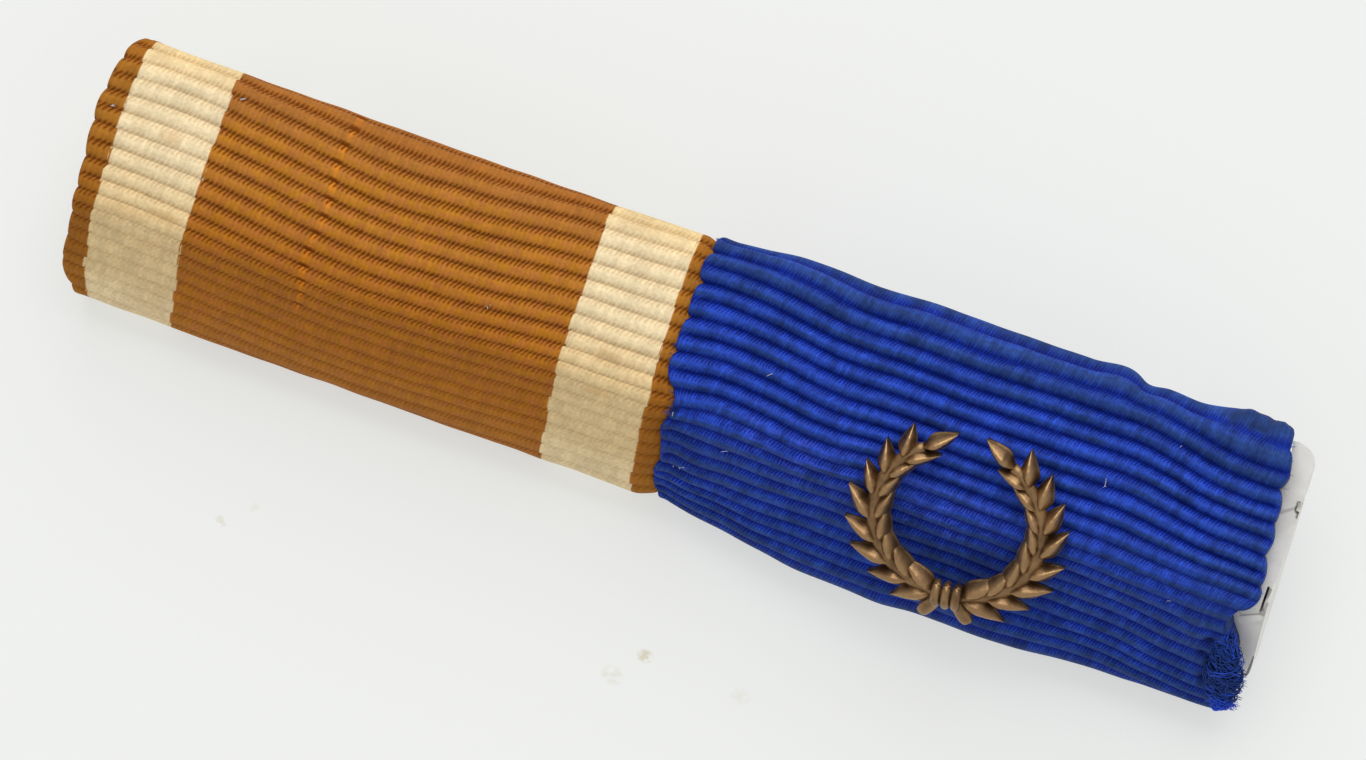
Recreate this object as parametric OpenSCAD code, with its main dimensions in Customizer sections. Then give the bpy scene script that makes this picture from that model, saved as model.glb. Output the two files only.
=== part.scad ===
// Ribbon bar for two ribbons, lying face up and leaning back on its pin.
// Every piece is drawn in the bar's own frame and then set down on the table:
// X runs along the bar, Y up its face and Z out of its face.

/* [Bar] */
// Width of the brown ribbon, measured along the bar
brown_w = 30; // [26:0.5:36]
// Width of the blue ribbon, measured along the bar at the ridge
blue_w = 29.6; // [26:0.1:36]
// Height of the wrapped bar, over the cloth
face_h = 14.2; // [13.6:0.1:17]
// Slope of the two faces next to the ridge, in degrees
ridge_slope = 21; // [16:0.5:24]
// Slope of the two faces next to the long edges, in degrees
edge_slope = 29; // [26:0.5:32]
// Angle by which the bar leans back on its pin, in degrees
lean = 27; // [22:0.5:30]
// Gap between one piece and the next
gap = 0.1; // [0.05:0.01:0.2]

/* [Metal plate] */
// Thickness of the sheet metal
plate_t = 0.8; // [0.6:0.05:1]
// Length of plate that shows beyond the blue ribbon, at the ridge
plate_show = 0.6; // [0.5:0.1:3]
// Distance by which the plate stops short of the brown ribbon's outer edge
plate_hidden = 0.3; // [0.1:0.1:1]
// Radius of the plate's corners, seen from the front
corner_r = 1.7; // [1:0.1:2.5]
// Distance by which the lower right corner stands out past the upper one
end_skew = 0.2; // [0:0.1:1]
// Height above the ridge of the lug at the upper right corner, which reaches past the long edge
lug_y = 7.15; // [6.2:0.05:7.4]
// Radius of the lug's corner
lug_r = 1; // [0.5:0.1:1.1]
// Width of the two slits beside the ridge
slit_w = 0.12; // [0.1:0.01:0.3]
// Length of the slit along the right end
end_slit_l = 1.4; // [0.8:0.1:2]
// Length of the slit that runs from there towards the ribbon
face_slit_l = 1.2; // [0.6:0.1:1.6]
// Height above the ridge of the nick in the plate's right end
nick_y = 4.6; // [3:0.1:5]

/* [Cloth] */
// Thickness of the ribbon over its ribs
cloth_t = 1.1; // [1:0.05:1.3]
// Distance from one rib to the next
rib_pitch = 0.88; // [0.75:0.01:1.2]
// Depth of the valleys between the ribs
rib_depth = 0.2; // [0.05:0.01:0.3]
// Distance by which each rib stands out at the ribbon's woven edges
scallop = 0.2; // [0:0.05:0.3]
// Width of the slot that the ribbons' ends leave at the back
slot_w = 3.4; // [3.2:0.1:5]
// Distance by which the blue ribbon's outer edge slants over the face
blue_skew = 1.3; // [0:0.1:1.5]
// Distance by which that edge also draws back at its upper corner
blue_corner = 0.3; // [0:0.05:0.5]

/* [Pin] */
// Height of the pin above the middle of the bar's back
pin_y = 2.6; // [1.5:0.1:3]
// Width of the strip that carries the pin
strip_w = 2.8; // [2:0.1:3]
// Distance from one end block of the pin to the other
pin_span = 42; // [30:1:50]
// Thickness of the needle
needle_d = 0.9; // [0.7:0.05:1.1]
// Radius of the barrel on each end block
barrel_r = 1.4; // [1.2:0.1:1.6]
// Length of each end block
block_l = 3.4; // [2.5:0.1:5]
// Depth of the flat on each barrel, where it stands on the table
foot_cut = 0.12; // [0.05:0.01:0.2]

/* [Device] */
// Place of the device along the bar, from the seam between the ribbons
device_x = 15.1; // [10:0.1:20]
// Height of the device's middle above the ridge
device_y = -0.3; // [-1.5:0.1:1.5]
// Turn of the device on the bar, in degrees
device_turn = 7; // [0:1:15]
// Radius of the wreath's stem
wreath_r = 4.1; // [3.5:0.1:4.6]
// Length of a leaf
leaf_l = 2.3; // [1.8:0.1:2.8]
// Width of a leaf
leaf_w = 1.15; // [0.8:0.05:1.4]
// Height of a leaf's middle rib over the device's back
leaf_h = 1.05; // [0.7:0.05:1.3]
// Number of leaf pairs on each branch
leaf_pairs = 8; // [5:1:9]

/* [Hidden] */
$fn = 48;

// Distance of the cloth's crests from the middle of the sheet metal
crest = plate_t / 2 + gap + cloth_t;

// The middle of the sheet metal is a small arc over the ridge and a large one down each face.
// Each arc is described by the slope at its ends, so a parallel curve only adds to its radius.
half = face_h / 2 - crest;
fold_r = plate_t / 2;
face_r = (half - fold_r * sin(ridge_slope)) / (sin(edge_slope) - sin(ridge_slope));
face_c = [half - face_r * sin(edge_slope), -face_r * cos(edge_slope)];
fold_c = [0, face_c.y + (face_r - fold_r) * cos(ridge_slope)];
ridge_z = fold_c.y + fold_r;

// Lengths over the cloth's crests, from the ridge to the end of each arc
fold_end = arc_len(fold_r + crest, ridge_slope);
face_end = fold_end + arc_len(face_r + crest, edge_slope - ridge_slope);
edge_end = face_end + arc_len(crest, 180 - edge_slope);

// The cloth's two ends at the back, as lengths from the ridge
low_end = edge_end + half + pin_y - slot_w / 2;
top_end = edge_end + half - pin_y - slot_w / 2;
rib_n = round((low_end + top_end) / rib_pitch);
rib_points = 3;

// Blue cloth stands off the plate's long edges: where it does so most, as a length from the
// ridge, and how far that reaches towards the ridge and towards the back
low_slack_at = face_end + 0.8;
top_slack_at = face_end + 2.2;
slack_reach = 4.2;
slack_back = 2.3;

// Ribs follow their shift fully up to here, and not at all from there on
shift_full = 8;
shift_none = 11;
// The upper ribs' shift holds from here up the face, and the lower ribs' from there down
upper_from = 2.5;
lower_from = -2.5;

plate_x0 = -brown_w + plate_hidden;
plate_x1 = blue_w + plate_show;
nick_w = 0.4;
nick_depth = 0.15;
// The blue ribbon's edge starts to draw back at this height above the ridge
corner_from = 4.5;
// Wall left between the right end and the slit beside it, the slit's lower end below the
// ridge, and the turn of the other slit, in degrees from the bar
slit_wall = 0.2;
slit_drop = 0.45;
slit_turn = 33;
middle_x = (plate_x1 + end_skew / 2 - brown_w) / 2;

// The barrels stand on the table together with the cloth's lower edge
table_h = half * sin(lean) + crest;
barrel_z = -(table_h + pin_y * sin(lean) - barrel_r + foot_cut) / cos(lean);
strip_z = -plate_t / 2 - gap / 2;
strip_t = 0.8;
end_gap = 0.4;
tip_l = 2.5;
catch_slot_w = 0.8;

// The device's back is bent by this much for each square millimetre of height
device_z = ridge_z + crest + gap;
device_bend = 0.02;
// Each branch of the wreath: its stem, and the angles at which its leaves start and end
stem_r = 0.42;
stem_steps = 12;
branch_from = 9;
branch_to = 148;
leaf_spread = 30;
leaf_taper = 0.25;
leaf_rim = leaf_h / 4;
// Tie round the foot of the wreath, and the cut ends of the stems below it
tie_l = 1.5;
tie_r = 0.6;
cut_from = 0.35;
cut_to = 1.05;
cut_l = 1.2;

// One row for each section of the brown ribbon:
// [share of its width, shift of its upper ribs up the face, shift of its lower ribs,
//  slack at the lower edge, slack at the upper edge]
BROWN_ROWS = [
    [0, 0, 0, 0, 0],
    [0.2, 0, 0.1, 0, 0],
    [0.35, -0.4, -0.05, 0, 0],
    [0.5, -0.65, -0.15, 0, 0],
    [0.65, -0.35, 0.2, 0, 0],
    [0.82, 0.1, 0.7, 0, 0],
    [1, 0.1, 0.7, 0, 0.1]
];

// The same columns for the blue ribbon
BLUE_ROWS = [
    [0, -0.35, -0.5, 0, 0.1],
    [0.07, 0, 0, 0.05, 0.35],
    [0.15, 0.05, 0, 0.35, 0.5],
    [0.28, -0.35, -0.1, 0.9, 0.5],
    [0.43, -0.25, 0, 1.1, 0.6],
    [0.6, -0.1, 0.05, 1, 0.6],
    [0.76, -0.05, 0, 0.65, 0.45],
    [0.89, -0.55, -0.1, 0.55, 0.7],
    [1, -0.95, -0.3, 0.5, 0.75]
];
low_slack_max = max([for (row = BLUE_ROWS) row[3]]);
top_slack_max = max([for (row = BLUE_ROWS) row[4]]);
middle_y = (top_slack_max - low_slack_max) / 2;

// One row for each section of a leaf: [share of its length, of its width, of its height]
LEAF_ROWS = [
    [0, 0.3, 0.6],
    [0.3, 1, 1],
    [0.65, 0.75, 0.85],
    [1, 0.08, 0.4]
];

function arc_len(r, angle) = r * angle * PI / 180;
function on_arc(c, r, angle) = c + r * [sin(angle), cos(angle)];
function along_arc(length, r) = length / r * 180 / PI;

// Point of the section at a distance off the middle of the sheet, at a slope on one side
function sheet_point(slope, off) =
    slope < ridge_slope ? on_arc(fold_c, fold_r + off, slope) : on_arc(face_c, face_r + off, slope);

// Point at length q from the ridge, measured over the crests, at a distance off the middle
function wrap_point(q, off) =
    q < fold_end ? on_arc(fold_c, fold_r + off, along_arc(q, fold_r + crest))
    : q < face_end ? on_arc(face_c, face_r + off, ridge_slope + along_arc(q - fold_end, face_r + crest))
    : q < edge_end ? on_arc([half, 0], off, edge_slope + along_arc(q - face_end, crest))
    : [half - (q - edge_end), -off];

// Smooth bump of height 1 that ends at one side after reach and at the other after back
function bump(t, reach, back) =
    t < -reach || t > back ? 0 : (1 + cos(180 * (t < 0 ? t / reach : t / back))) / 2;
function fade(q) = q < shift_full ? 1 : q > shift_none ? 0
    : (1 + cos(180 * (q - shift_full) / (shift_none - shift_full))) / 2;
function share(s) = min(1, max(0, (s - lower_from) / (upper_from - lower_from)));

// Point of a ribbon: its section's row, length up the face from the ridge, and depth in the cloth
function ribbon_point(row, s, depth) = let(
        moved = s + (row[2] + (row[1] - row[2]) * share(s)) * fade(abs(s)),
        q = abs(moved),
        slack = moved < 0 ? row[3] * bump(q - low_slack_at, slack_reach, slack_back)
            : row[4] * bump(q - top_slack_at, slack_reach, slack_back),
        p = wrap_point(q, crest - depth + slack)
    ) [moved < 0 ? -p.x : p.x, p.y];

// Two triangles for four corners that go round clockwise, seen from outside
function quad(a, b, c, d) = [[a, b, c], [a, c, d]];
function flat(lists) = [for (list = lists) each list];

// Closed shell between an outer and an inner grid with the same rows and columns
function shell_faces(rows, cols) = let(
        o = function(j, i) j * cols + i,
        n = function(j, i) (rows + j) * cols + i,
        last_j = rows - 1,
        last_i = cols - 1
    ) flat([
        for (j = [0:rows - 2], i = [0:cols - 2]) each [
            quad(o(j, i), o(j, i + 1), o(j + 1, i + 1), o(j + 1, i)),
            quad(n(j, i), n(j + 1, i), n(j + 1, i + 1), n(j, i + 1))
        ],
        for (j = [0:rows - 2]) each [
            quad(o(j, 0), o(j + 1, 0), n(j + 1, 0), n(j, 0)),
            quad(o(j + 1, last_i), o(j, last_i), n(j, last_i), n(j + 1, last_i))
        ],
        for (i = [0:cols - 2]) each [
            quad(o(0, i + 1), o(0, i), n(0, i), n(0, i + 1)),
            quad(o(last_j, i), o(last_j, i + 1), n(last_j, i + 1), n(last_j, i))
        ]
    ]);

// Corner p of an outline that runs clockwise through a, p and b, rounded by an arc
function round_corner(a, p, b, r, steps = 8) = let(
        u = (a - p) / norm(a - p),
        v = (b - p) / norm(b - p),
        open = acos(u * v) / 2,
        c = p + (u + v) / norm(u + v) * r / sin(open),
        start = p + u * r / tan(open) - c,
        turn = 180 - 2 * open
    ) [for (k = [0:steps]) let(t = -turn * k / steps)
        c + [start.x * cos(t) - start.y * sin(t), start.x * sin(t) + start.y * cos(t)]];

// Outline of the plate from the front, drawn in by inset. The lug takes its upper right corner.
function plate_outline(inset) = let(
        x0 = plate_x0 + inset,
        x1 = plate_x1 - inset,
        y = half + plate_t - inset,
        r = corner_r - inset,
        c = [[x0, -y], [x0, y], [x1 - end_skew / 2, y], [x1 + end_skew / 2, -y]]
    ) [for (k = [0:3]) each k == 2 ? [c[k]] : round_corner(c[(k + 3) % 4], c[k], c[(k + 1) % 4], r)];

// Distance by which the blue ribbon's edge is drawn back at a height above the ridge
function edge_back(y) =
    blue_skew * y / face_h + blue_corner * max(0, y - corner_from) / (face_h / 2 - corner_from);

// Section of the roof, filled down to a level
function roof_section(off, level) = let(
        slopes = [for (a = [0:ridge_slope / 3:ridge_slope]) a, for (k = [1:3]) ridge_slope
            + (edge_slope - ridge_slope) * k / 3],
        right = [for (a = slopes) sheet_point(a, off)],
        left = [for (k = [len(right) - 1:-1:1]) [-right[k].x, right[k].y]]
    ) concat(left, right, [[right[len(right) - 1].x, level], [left[0].x, level]]);

module along_bar(x0, x1) {
    translate([x0, 0, 0]) rotate([90, 0, 90]) linear_extrude(x1 - x0) children();
}

module on_table() {
    translate([-middle_x, -middle_y, table_h]) rotate([lean, 0, 0]) children();
}

// Solid under the roof, inside the outline
module roof_block(off, level, inset) {
    intersection() {
        along_bar(plate_x0 - 1, plate_x1 + 1) {
            polygon(roof_section(off, level));
        }
        translate([0, 0, level]) linear_extrude(ridge_z - level + plate_t) {
            polygon(plate_outline(inset));
        }
    }
}

// Lug at the upper right corner: the sheet runs on down its slope past the long edge
module lug() {
    slope = [cos(edge_slope), -sin(edge_slope)];
    top = sheet_point(edge_slope, plate_t / 2);
    low = sheet_point(edge_slope, -plate_t / 2);
    reach = (lug_y - top.x) / slope.x;
    // the lug leaves a gap to the blue ribbon's edge, which slants away from it
    x0 = blue_w + gap - edge_back(lug_y);
    x1 = plate_x1 - end_skew / 2;
    x2 = blue_w + gap - edge_back(top.x);
    far = (reach + 1) * slope;
    intersection() {
        along_bar(x0 - 1, x1 + 1) {
            polygon([top, top + far, low + far, [half, -plate_t / 2]]);
        }
        // its outline is cut square to the sheet, and is measured down the slope from the rim
        translate([0, top.x, top.y]) rotate([-edge_slope, 0, 0]) {
            corner = round_corner([x0, reach], [x1, reach], [x1, -1], lug_r);
            translate([0, 0, -ridge_z]) linear_extrude(2 * ridge_z) {
                polygon([[x2, -1], [x2, 0], [x0, reach], each corner, [x1, -1]]);
            }
        }
    }
}

// Cutter for the slit along the right end and the one that runs from its lower end
module slits() {
    translate([plate_x1 - slit_wall - slit_w, -slit_drop, ridge_z / 2]) {
        cube([slit_w, end_slit_l, ridge_z]);
        rotate([0, 0, slit_turn]) {
            translate([-face_slit_l, 0, 0]) cube([face_slit_l + slit_w, slit_w, ridge_z]);
        }
    }
}

module backing_bar() {
    bottom = -plate_t / 2;
    color("silver") on_table() difference() {
        union() {
            roof_block(plate_t / 2, bottom, 0);
            lug();
        }
        roof_block(-plate_t / 2, bottom - plate_t, plate_t);
        slits();
        // nick in the end of the upper face
        translate([plate_x1 - end_skew / 2 - nick_depth, nick_y - nick_w / 2, bottom - plate_t]) {
            cube([plate_t, nick_w, 2 * ridge_z]);
        }
    }
}

module ribbon(rows, x0, width, slanted) {
    cols = rib_n * rib_points + 1;
    last = len(rows) - 1;
    step = (low_end + top_end) / (cols - 1);
    points = [for (depth = [0, cloth_t], j = [0:last], i = [0:cols - 1]) let(
            s = i * step - low_end,
            valley = i % rib_points == 0,
            side = j == 0 ? -1 : j == last ? 1 : 0,
            p = ribbon_point(rows[j], s, depth == 0 && valley ? rib_depth : depth),
            slant = slanted ? -rows[j][0] * edge_back(p.x) : 0
        ) [x0 + rows[j][0] * width - side * (gap / 2 + (valley ? scallop : 0)) + slant, p.x, p.y]];
    polyhedron(points, shell_faces(len(rows), cols), convexity = 8);
}

module brown_ribbon() {
    color("peru") on_table() ribbon(BROWN_ROWS, -brown_w, brown_w, false);
}

module blue_ribbon() {
    color("royalblue") on_table() ribbon(BLUE_ROWS, 0, blue_w, true);
}

// Point of the device, bent gently over the ridge
function bent(p, z) = [p.x, p.y, z - device_bend * p.y * p.y];

// A leaf from a point, pointing at an angle, with a raised middle rib and a flat back
module leaf(p, angle, length, width) {
    d = [cos(angle), sin(angle)];
    across = [-sin(angle), cos(angle)];
    points = [for (row = LEAF_ROWS) let(
            c = p + d * length * row[0],
            w = across * width / 2 * row[1]
        ) each [
            bent(c + w, leaf_rim), bent(c, leaf_h * row[2]), bent(c - w, leaf_rim), bent(c, 0)
        ]];
    next = function(i) (i + 1) % 4;
    last = 4 * len(LEAF_ROWS) - 4;
    hull() polyhedron(points, [[0, 1, 2, 3], [last, last + 3, last + 2, last + 1],
        for (j = [0:4:last - 4], i = [0:3]) [j + i, j + 4 + i, j + 4 + next(i), j + next(i)]]);
}

// Half of the wreath: a stem that rises from the tie, with leaves on both sides
module branch() {
    for (k = [0:leaf_pairs]) {
        a = -90 + branch_from + (branch_to - branch_from) * k / leaf_pairs;
        p = wreath_r * [cos(a), sin(a)];
        size = 1 - leaf_taper * k / leaf_pairs;
        if (k < leaf_pairs) {
            for (side = [-1, 1]) {
                leaf(p, a + 90 + side * leaf_spread, leaf_l * size, leaf_w * size);
            }
        } else {
            leaf(p, a + 90, leaf_l * size, leaf_w * size);
        }
    }
    for (k = [0:stem_steps - 1]) {
        hull() for (m = [k, k + 1]) {
            a = -90 + branch_to * m / stem_steps;
            translate(bent(wreath_r * [cos(a), sin(a)], stem_r)) sphere(stem_r, $fn = 8);
        }
    }
}

module device() {
    color("sienna") on_table() translate([device_x, device_y, device_z]) rotate([0, 0, device_turn]) {
        branch();
        mirror([1, 0, 0]) branch();
        // tie at the foot, with the two cut ends of the stems
        hull() for (side = [-1, 1]) {
            translate(bent([side * tie_l / 2, -wreath_r], stem_r)) sphere(tie_r, $fn = 12);
        }
        for (side = [-1, 1]) {
            hull() for (t = [0, 1]) {
                x = side * (cut_from + (cut_to - cut_from) * t);
                translate(bent([x, -wreath_r - cut_l * t], stem_r)) sphere(stem_r, $fn = 8);
            }
        }
    }
}

// End block: a web that hangs from the strip and carries a barrel
module end_block() {
    along_bar(-block_l / 2, block_l / 2) {
        translate([pin_y - barrel_r / 2, barrel_z]) square([barrel_r, strip_z - barrel_z]);
        translate([pin_y, barrel_z]) circle(barrel_r);
    }
}

// Slot in the catch, through which the needle is laid in
module catch_slot() {
    translate([-block_l, pin_y - 2 * barrel_r, barrel_z - catch_slot_w / 2]) {
        cube([2 * block_l, 2 * barrel_r, catch_slot_w]);
    }
}

module fastening_pin() {
    x0 = plate_x0 + end_gap;
    x1 = plate_x1 - end_skew / 2 - end_gap;
    color("lightgray") difference() {
        on_table() {
            translate([x0, pin_y - strip_w / 2, strip_z - strip_t]) {
                cube([x1 - x0, strip_w, strip_t]);
            }
            translate([middle_x - pin_span / 2, 0, 0]) end_block();
            translate([middle_x + pin_span / 2, 0, 0]) difference() {
                end_block();
                catch_slot();
            }
            translate([middle_x - pin_span / 2, pin_y, barrel_z]) rotate([0, 90, 0]) {
                cylinder(pin_span + block_l / 2, d = needle_d);
            }
            translate([middle_x + pin_span / 2 + block_l / 2, pin_y, barrel_z]) rotate([0, 90, 0]) {
                cylinder(tip_l, d1 = needle_d, d2 = needle_d / 6);
            }
        }
        // flats where the barrels stand on the table
        translate([-pin_span, -face_h, -face_h]) cube([2 * pin_span, 2 * face_h, face_h]);
    }
}

backing_bar();
brown_ribbon();
blue_ribbon();
device();
fastening_pin();
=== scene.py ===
import bpy
import numpy as np
from mathutils import Matrix, Vector


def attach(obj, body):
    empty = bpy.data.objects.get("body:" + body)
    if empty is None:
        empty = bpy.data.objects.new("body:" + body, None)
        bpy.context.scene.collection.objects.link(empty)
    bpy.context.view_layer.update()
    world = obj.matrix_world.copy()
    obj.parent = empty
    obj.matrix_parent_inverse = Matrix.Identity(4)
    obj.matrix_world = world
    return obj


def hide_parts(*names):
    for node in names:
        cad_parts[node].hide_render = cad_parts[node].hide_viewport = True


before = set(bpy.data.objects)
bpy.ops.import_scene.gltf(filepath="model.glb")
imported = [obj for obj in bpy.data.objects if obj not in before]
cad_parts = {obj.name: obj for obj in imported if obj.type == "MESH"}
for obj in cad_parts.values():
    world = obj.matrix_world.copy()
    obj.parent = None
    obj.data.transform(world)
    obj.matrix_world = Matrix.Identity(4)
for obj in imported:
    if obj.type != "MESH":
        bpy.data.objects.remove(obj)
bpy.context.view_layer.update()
print("frame loaded:", sorted(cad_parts))

bar = {
    "lean": np.radians(27.0),  # by which the bar leans back on its pin
    "faceHeight": 14.2,  # over the cloth
    "ridgeSlope": np.radians(21.0),  # slope of the face beside its ridge
    "edgeSlope": np.radians(29.0),  # and at its long edges
    "plateThick": 0.8,
    "gap": 0.1,  # between the plate and the cloth
    "clothThick": 1.1,
    "slotWidth": 3.4,  # slot between the ribbons' ends at the back
    "pinY": 2.6,  # middle of that slot
    "middleX": 0.15,  # the scene's origin, along X and Y once the bar leans
    "middleY": -0.175,
}

# The section: a fold round foldC, a face round faceC, and a long edge half away from the ridge.
# crest and lining are the distances of the cloth's two sides from the middle of the plate.
crest = bar["plateThick"] / 2 + bar["gap"] + bar["clothThick"]
lining = bar["plateThick"] / 2 + bar["gap"]
half = bar["faceHeight"] / 2 - crest
foldR = bar["plateThick"] / 2
sinRidge, sinEdge = np.sin(bar["ridgeSlope"]), np.sin(bar["edgeSlope"])
faceR = (half - foldR * sinRidge) / (sinEdge - sinRidge)
faceC = (half - faceR * sinEdge, -faceR * np.cos(bar["edgeSlope"]))
foldC = (0.0, faceC[1] + (faceR - foldR) * np.cos(bar["ridgeSlope"]))
ridgeZ = foldC[1] + foldR

# Lengths over the crests from the ridge to the end of the fold, of the face, of the long edge
# and of the cloth at the back, below and above the slot.
foldEnd = (foldR + crest) * bar["ridgeSlope"]
faceEnd = foldEnd + (faceR + crest) * (bar["edgeSlope"] - bar["ridgeSlope"])
edgeEnd = faceEnd + crest * (np.pi - bar["edgeSlope"])
lowEnd = edgeEnd + half + bar["pinY"] - bar["slotWidth"] / 2
topEnd = edgeEnd + half - bar["pinY"] - bar["slotWidth"] / 2
tableH = half * np.sin(bar["lean"]) + crest


# Helpers for shapes


# Directions of the bar's frame in the scene: turned about X by the lean.
def turned(p):
    c, s = np.cos(bar["lean"]), np.sin(bar["lean"])
    return np.stack([p[..., 0], c * p[..., 1] - s * p[..., 2], s * p[..., 1] + c * p[..., 2]], -1)


# Points of the bar's frame in the scene, in metres: turned, then lifted by tableH.
def onTable(p):
    return (turned(p) + (-bar["middleX"], -bar["middleY"], tableH)) / 1000


# Section round the plate: a small arc over the ridge, a large one down the face, one of
# radius off round the long edge, then straight. q is the length over the crests.
def wrapPoint(q, off):
    a = q / (foldR + crest)
    b = bar["ridgeSlope"] + (q - foldEnd) / (faceR + crest)
    c = bar["edgeSlope"] + (q - faceEnd) / crest
    overFold = foldC[0] + (foldR + off) * np.sin(a), foldC[1] + (foldR + off) * np.cos(a)
    overFace = faceC[0] + (faceR + off) * np.sin(b), faceC[1] + (faceR + off) * np.cos(b)
    overEdge = half + off * np.sin(c), off * np.cos(c)
    where = [q < foldEnd, q < faceEnd, q < edgeEnd]
    y = np.select(where, [overFold[0], overFace[0], overEdge[0]], half - (q - edgeEnd))
    z = np.select(where, [overFold[1], overFace[1], overEdge[1]], -off)
    return y, z


# Point above the face: x along the bar, s up the face from the ridge, off from the middle.
def facePoint(x, s, off):
    x, s, off = np.broadcast_arrays(*[np.asarray(v, float) for v in (x, s, off)])
    y, z = wrapPoint(np.abs(s), off)
    return np.stack([x, np.sign(s) * y, z], -1)


# Smooth curve through the rows of a table: cubic pieces with matching slopes.
def through(x, rows, column=1):
    table = np.array(rows, float)
    xs, ys = table[:, 0], table[:, column]
    slopes = np.gradient(ys, xs)
    k = np.clip(np.searchsorted(xs, x) - 1, 0, len(xs) - 2)
    h = xs[k + 1] - xs[k]
    t = np.clip((x - xs[k]) / h, 0, 1)
    return (
        ys[k] * (1 + 2 * t) * (1 - t) ** 2
        + slopes[k] * h * t * (1 - t) ** 2
        + ys[k + 1] * t * t * (3 - 2 * t)
        + slopes[k + 1] * h * t * t * (t - 1)
    )


# Eases from 0 to 1 while t runs from 0 to 1.
def eased(t):
    t = np.clip(t, 0, 1)
    return t * t * (3 - 2 * t)


# Smooth bump of height 1: half a cosine wave that ends after reach on one side and after back
# on the other.
def bump(t, reach, back):
    t = np.where(t < 0, t / reach, t / back)
    return np.where(np.abs(t) < 1, (1 + np.cos(np.pi * t)) / 2, 0)


# Smooth noise between about -1 and 1: a sum of plane waves of about one size.
def ripple(a, b, seed, size, waves=9):
    rng = np.random.default_rng(seed)
    total = np.zeros(np.broadcast(a, b).shape)
    for angle, phase, stretch in rng.random((waves, 3)):
        k = 2 * np.pi / (size * (0.7 + 0.8 * stretch))
        total += np.sin(k * (a * np.cos(np.pi * angle) + b * np.sin(np.pi * angle)) + 6.283 * phase)
    return total / np.sqrt(waves)


# Quads of a grid of rows x cols points, joined round its columns if closed.
def gridFaces(rows, cols, closed=False, flip=False):
    j, i = np.meshgrid(np.arange(rows - 1), np.arange(cols if closed else cols - 1), indexing="ij")
    k = (i + 1) % cols
    quads = np.stack([j * cols + i, j * cols + k, (j + 1) * cols + k, (j + 1) * cols + i], -1)
    quads = quads.reshape(-1, 4)
    return quads[:, ::-1] if flip else quads


# A mesh object at the origin, with its place in its mesh and its own values on its points.
def makePiece(name, points, faces, material, values):
    mesh = bpy.data.meshes.new(name)
    mesh.from_pydata(points.reshape(-1, 3).tolist(), [], [list(map(int, f)) for f in faces])
    for key, value in values.items():
        attribute = mesh.attributes.new(key, "FLOAT_VECTOR", "POINT")
        attribute.data.foreach_set("vector", np.ascontiguousarray(value, np.float32).ravel())
    mesh.polygons.foreach_set("use_smooth", np.full(len(mesh.polygons), True))
    mesh.materials.append(material)
    mesh.update()
    piece = bpy.data.objects.new(name, mesh)
    bpy.context.scene.collection.objects.link(piece)
    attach(piece, "root")
    return piece


# Thin tubes along many paths at once: a ring of points across each path's direction, narrowing
# to the share taper of its radius at both ends, and closed there by flat caps.
def tubes(paths, radius, sides, taper):
    count, steps, _ = paths.shape
    along = np.gradient(paths, axis=1)
    along /= np.linalg.norm(along, axis=-1, keepdims=True) + 1e-12
    guide = np.where(np.abs(along[..., 2:]) < 0.8, (0.0, 0.0, 1.0), (1.0, 0.0, 0.0))
    across = np.cross(along, guide)
    across /= np.linalg.norm(across, axis=-1, keepdims=True)
    upward = np.cross(across, along)
    t = np.linspace(0, 1, steps)
    width = 1 - (1 - taper) * np.abs(2 * t - 1) ** 4
    r = np.reshape(radius, (-1, 1)) * width
    angle = np.linspace(0, 2 * np.pi, sides, endpoint=False)[:, None]
    rings = paths[:, :, None] + r[:, :, None, None] * (
        np.cos(angle) * across[:, :, None] + np.sin(angle) * upward[:, :, None]
    )
    quads = gridFaces(steps, sides, closed=True, flip=True)
    faces = [quads + k * steps * sides for k in range(count)]
    caps = []
    for k in range(count):
        first = k * steps * sides
        last = first + (steps - 1) * sides
        caps += [list(range(first, first + sides)), list(range(last + sides - 1, last - 1, -1))]
    return rings.reshape(-1, 3), [*np.concatenate(faces), *caps]


# Helpers for materials


# A new material, its node tree and its shader.
def newMaterial(name):
    material = bpy.data.materials.new(name)
    material.use_nodes = True
    tree = material.node_tree
    return material, tree, tree.nodes["Principled BSDF"]


# Feeds a socket with another node's output or with a plain value.
def plug(tree, socket, value):
    if isinstance(value, bpy.types.NodeSocket):
        tree.links.new(value, socket)
    else:
        socket.default_value = value


# A Math node fed with numbers or other nodes' outputs.
def calc(tree, operation, *values, clamp=False):
    node = tree.nodes.new("ShaderNodeMath")
    node.operation = operation
    node.use_clamp = clamp
    for socket, value in zip(node.inputs, values):
        plug(tree, socket, value)
    return node.outputs[0]


# A colour Mix node. Plain colours are given as red, green and blue.
def mixed(tree, factor, first, second, blend="MIX"):
    node = tree.nodes.new("ShaderNodeMix")
    node.data_type = "RGBA"
    node.blend_type = blend
    plug(tree, node.inputs[0], factor)
    for socket, value in ((node.inputs[6], first), (node.inputs[7], second)):
        plug(tree, socket, (*value, 1.0) if isinstance(value, tuple) else value)
    return node.outputs[2]


# A Map Range node that eases from one range to another.
def spread(tree, value, low, high, outLow=0.0, outHigh=1.0):
    node = tree.nodes.new("ShaderNodeMapRange")
    node.interpolation_type = "SMOOTHSTEP"
    for socket, number in zip(node.inputs, (value, low, high, outLow, outHigh)):
        plug(tree, socket, number)
    return node.outputs[0]


# A Noise node, with its scale, detail and roughness.
def noise(tree, vector, scale, detail=2.0, rough=0.5):
    node = tree.nodes.new("ShaderNodeTexNoise")
    plug(tree, node.inputs["Vector"], vector)
    node.inputs["Scale"].default_value = scale
    node.inputs["Detail"].default_value = detail
    node.inputs["Roughness"].default_value = rough
    return node.outputs["Fac"]


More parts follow.
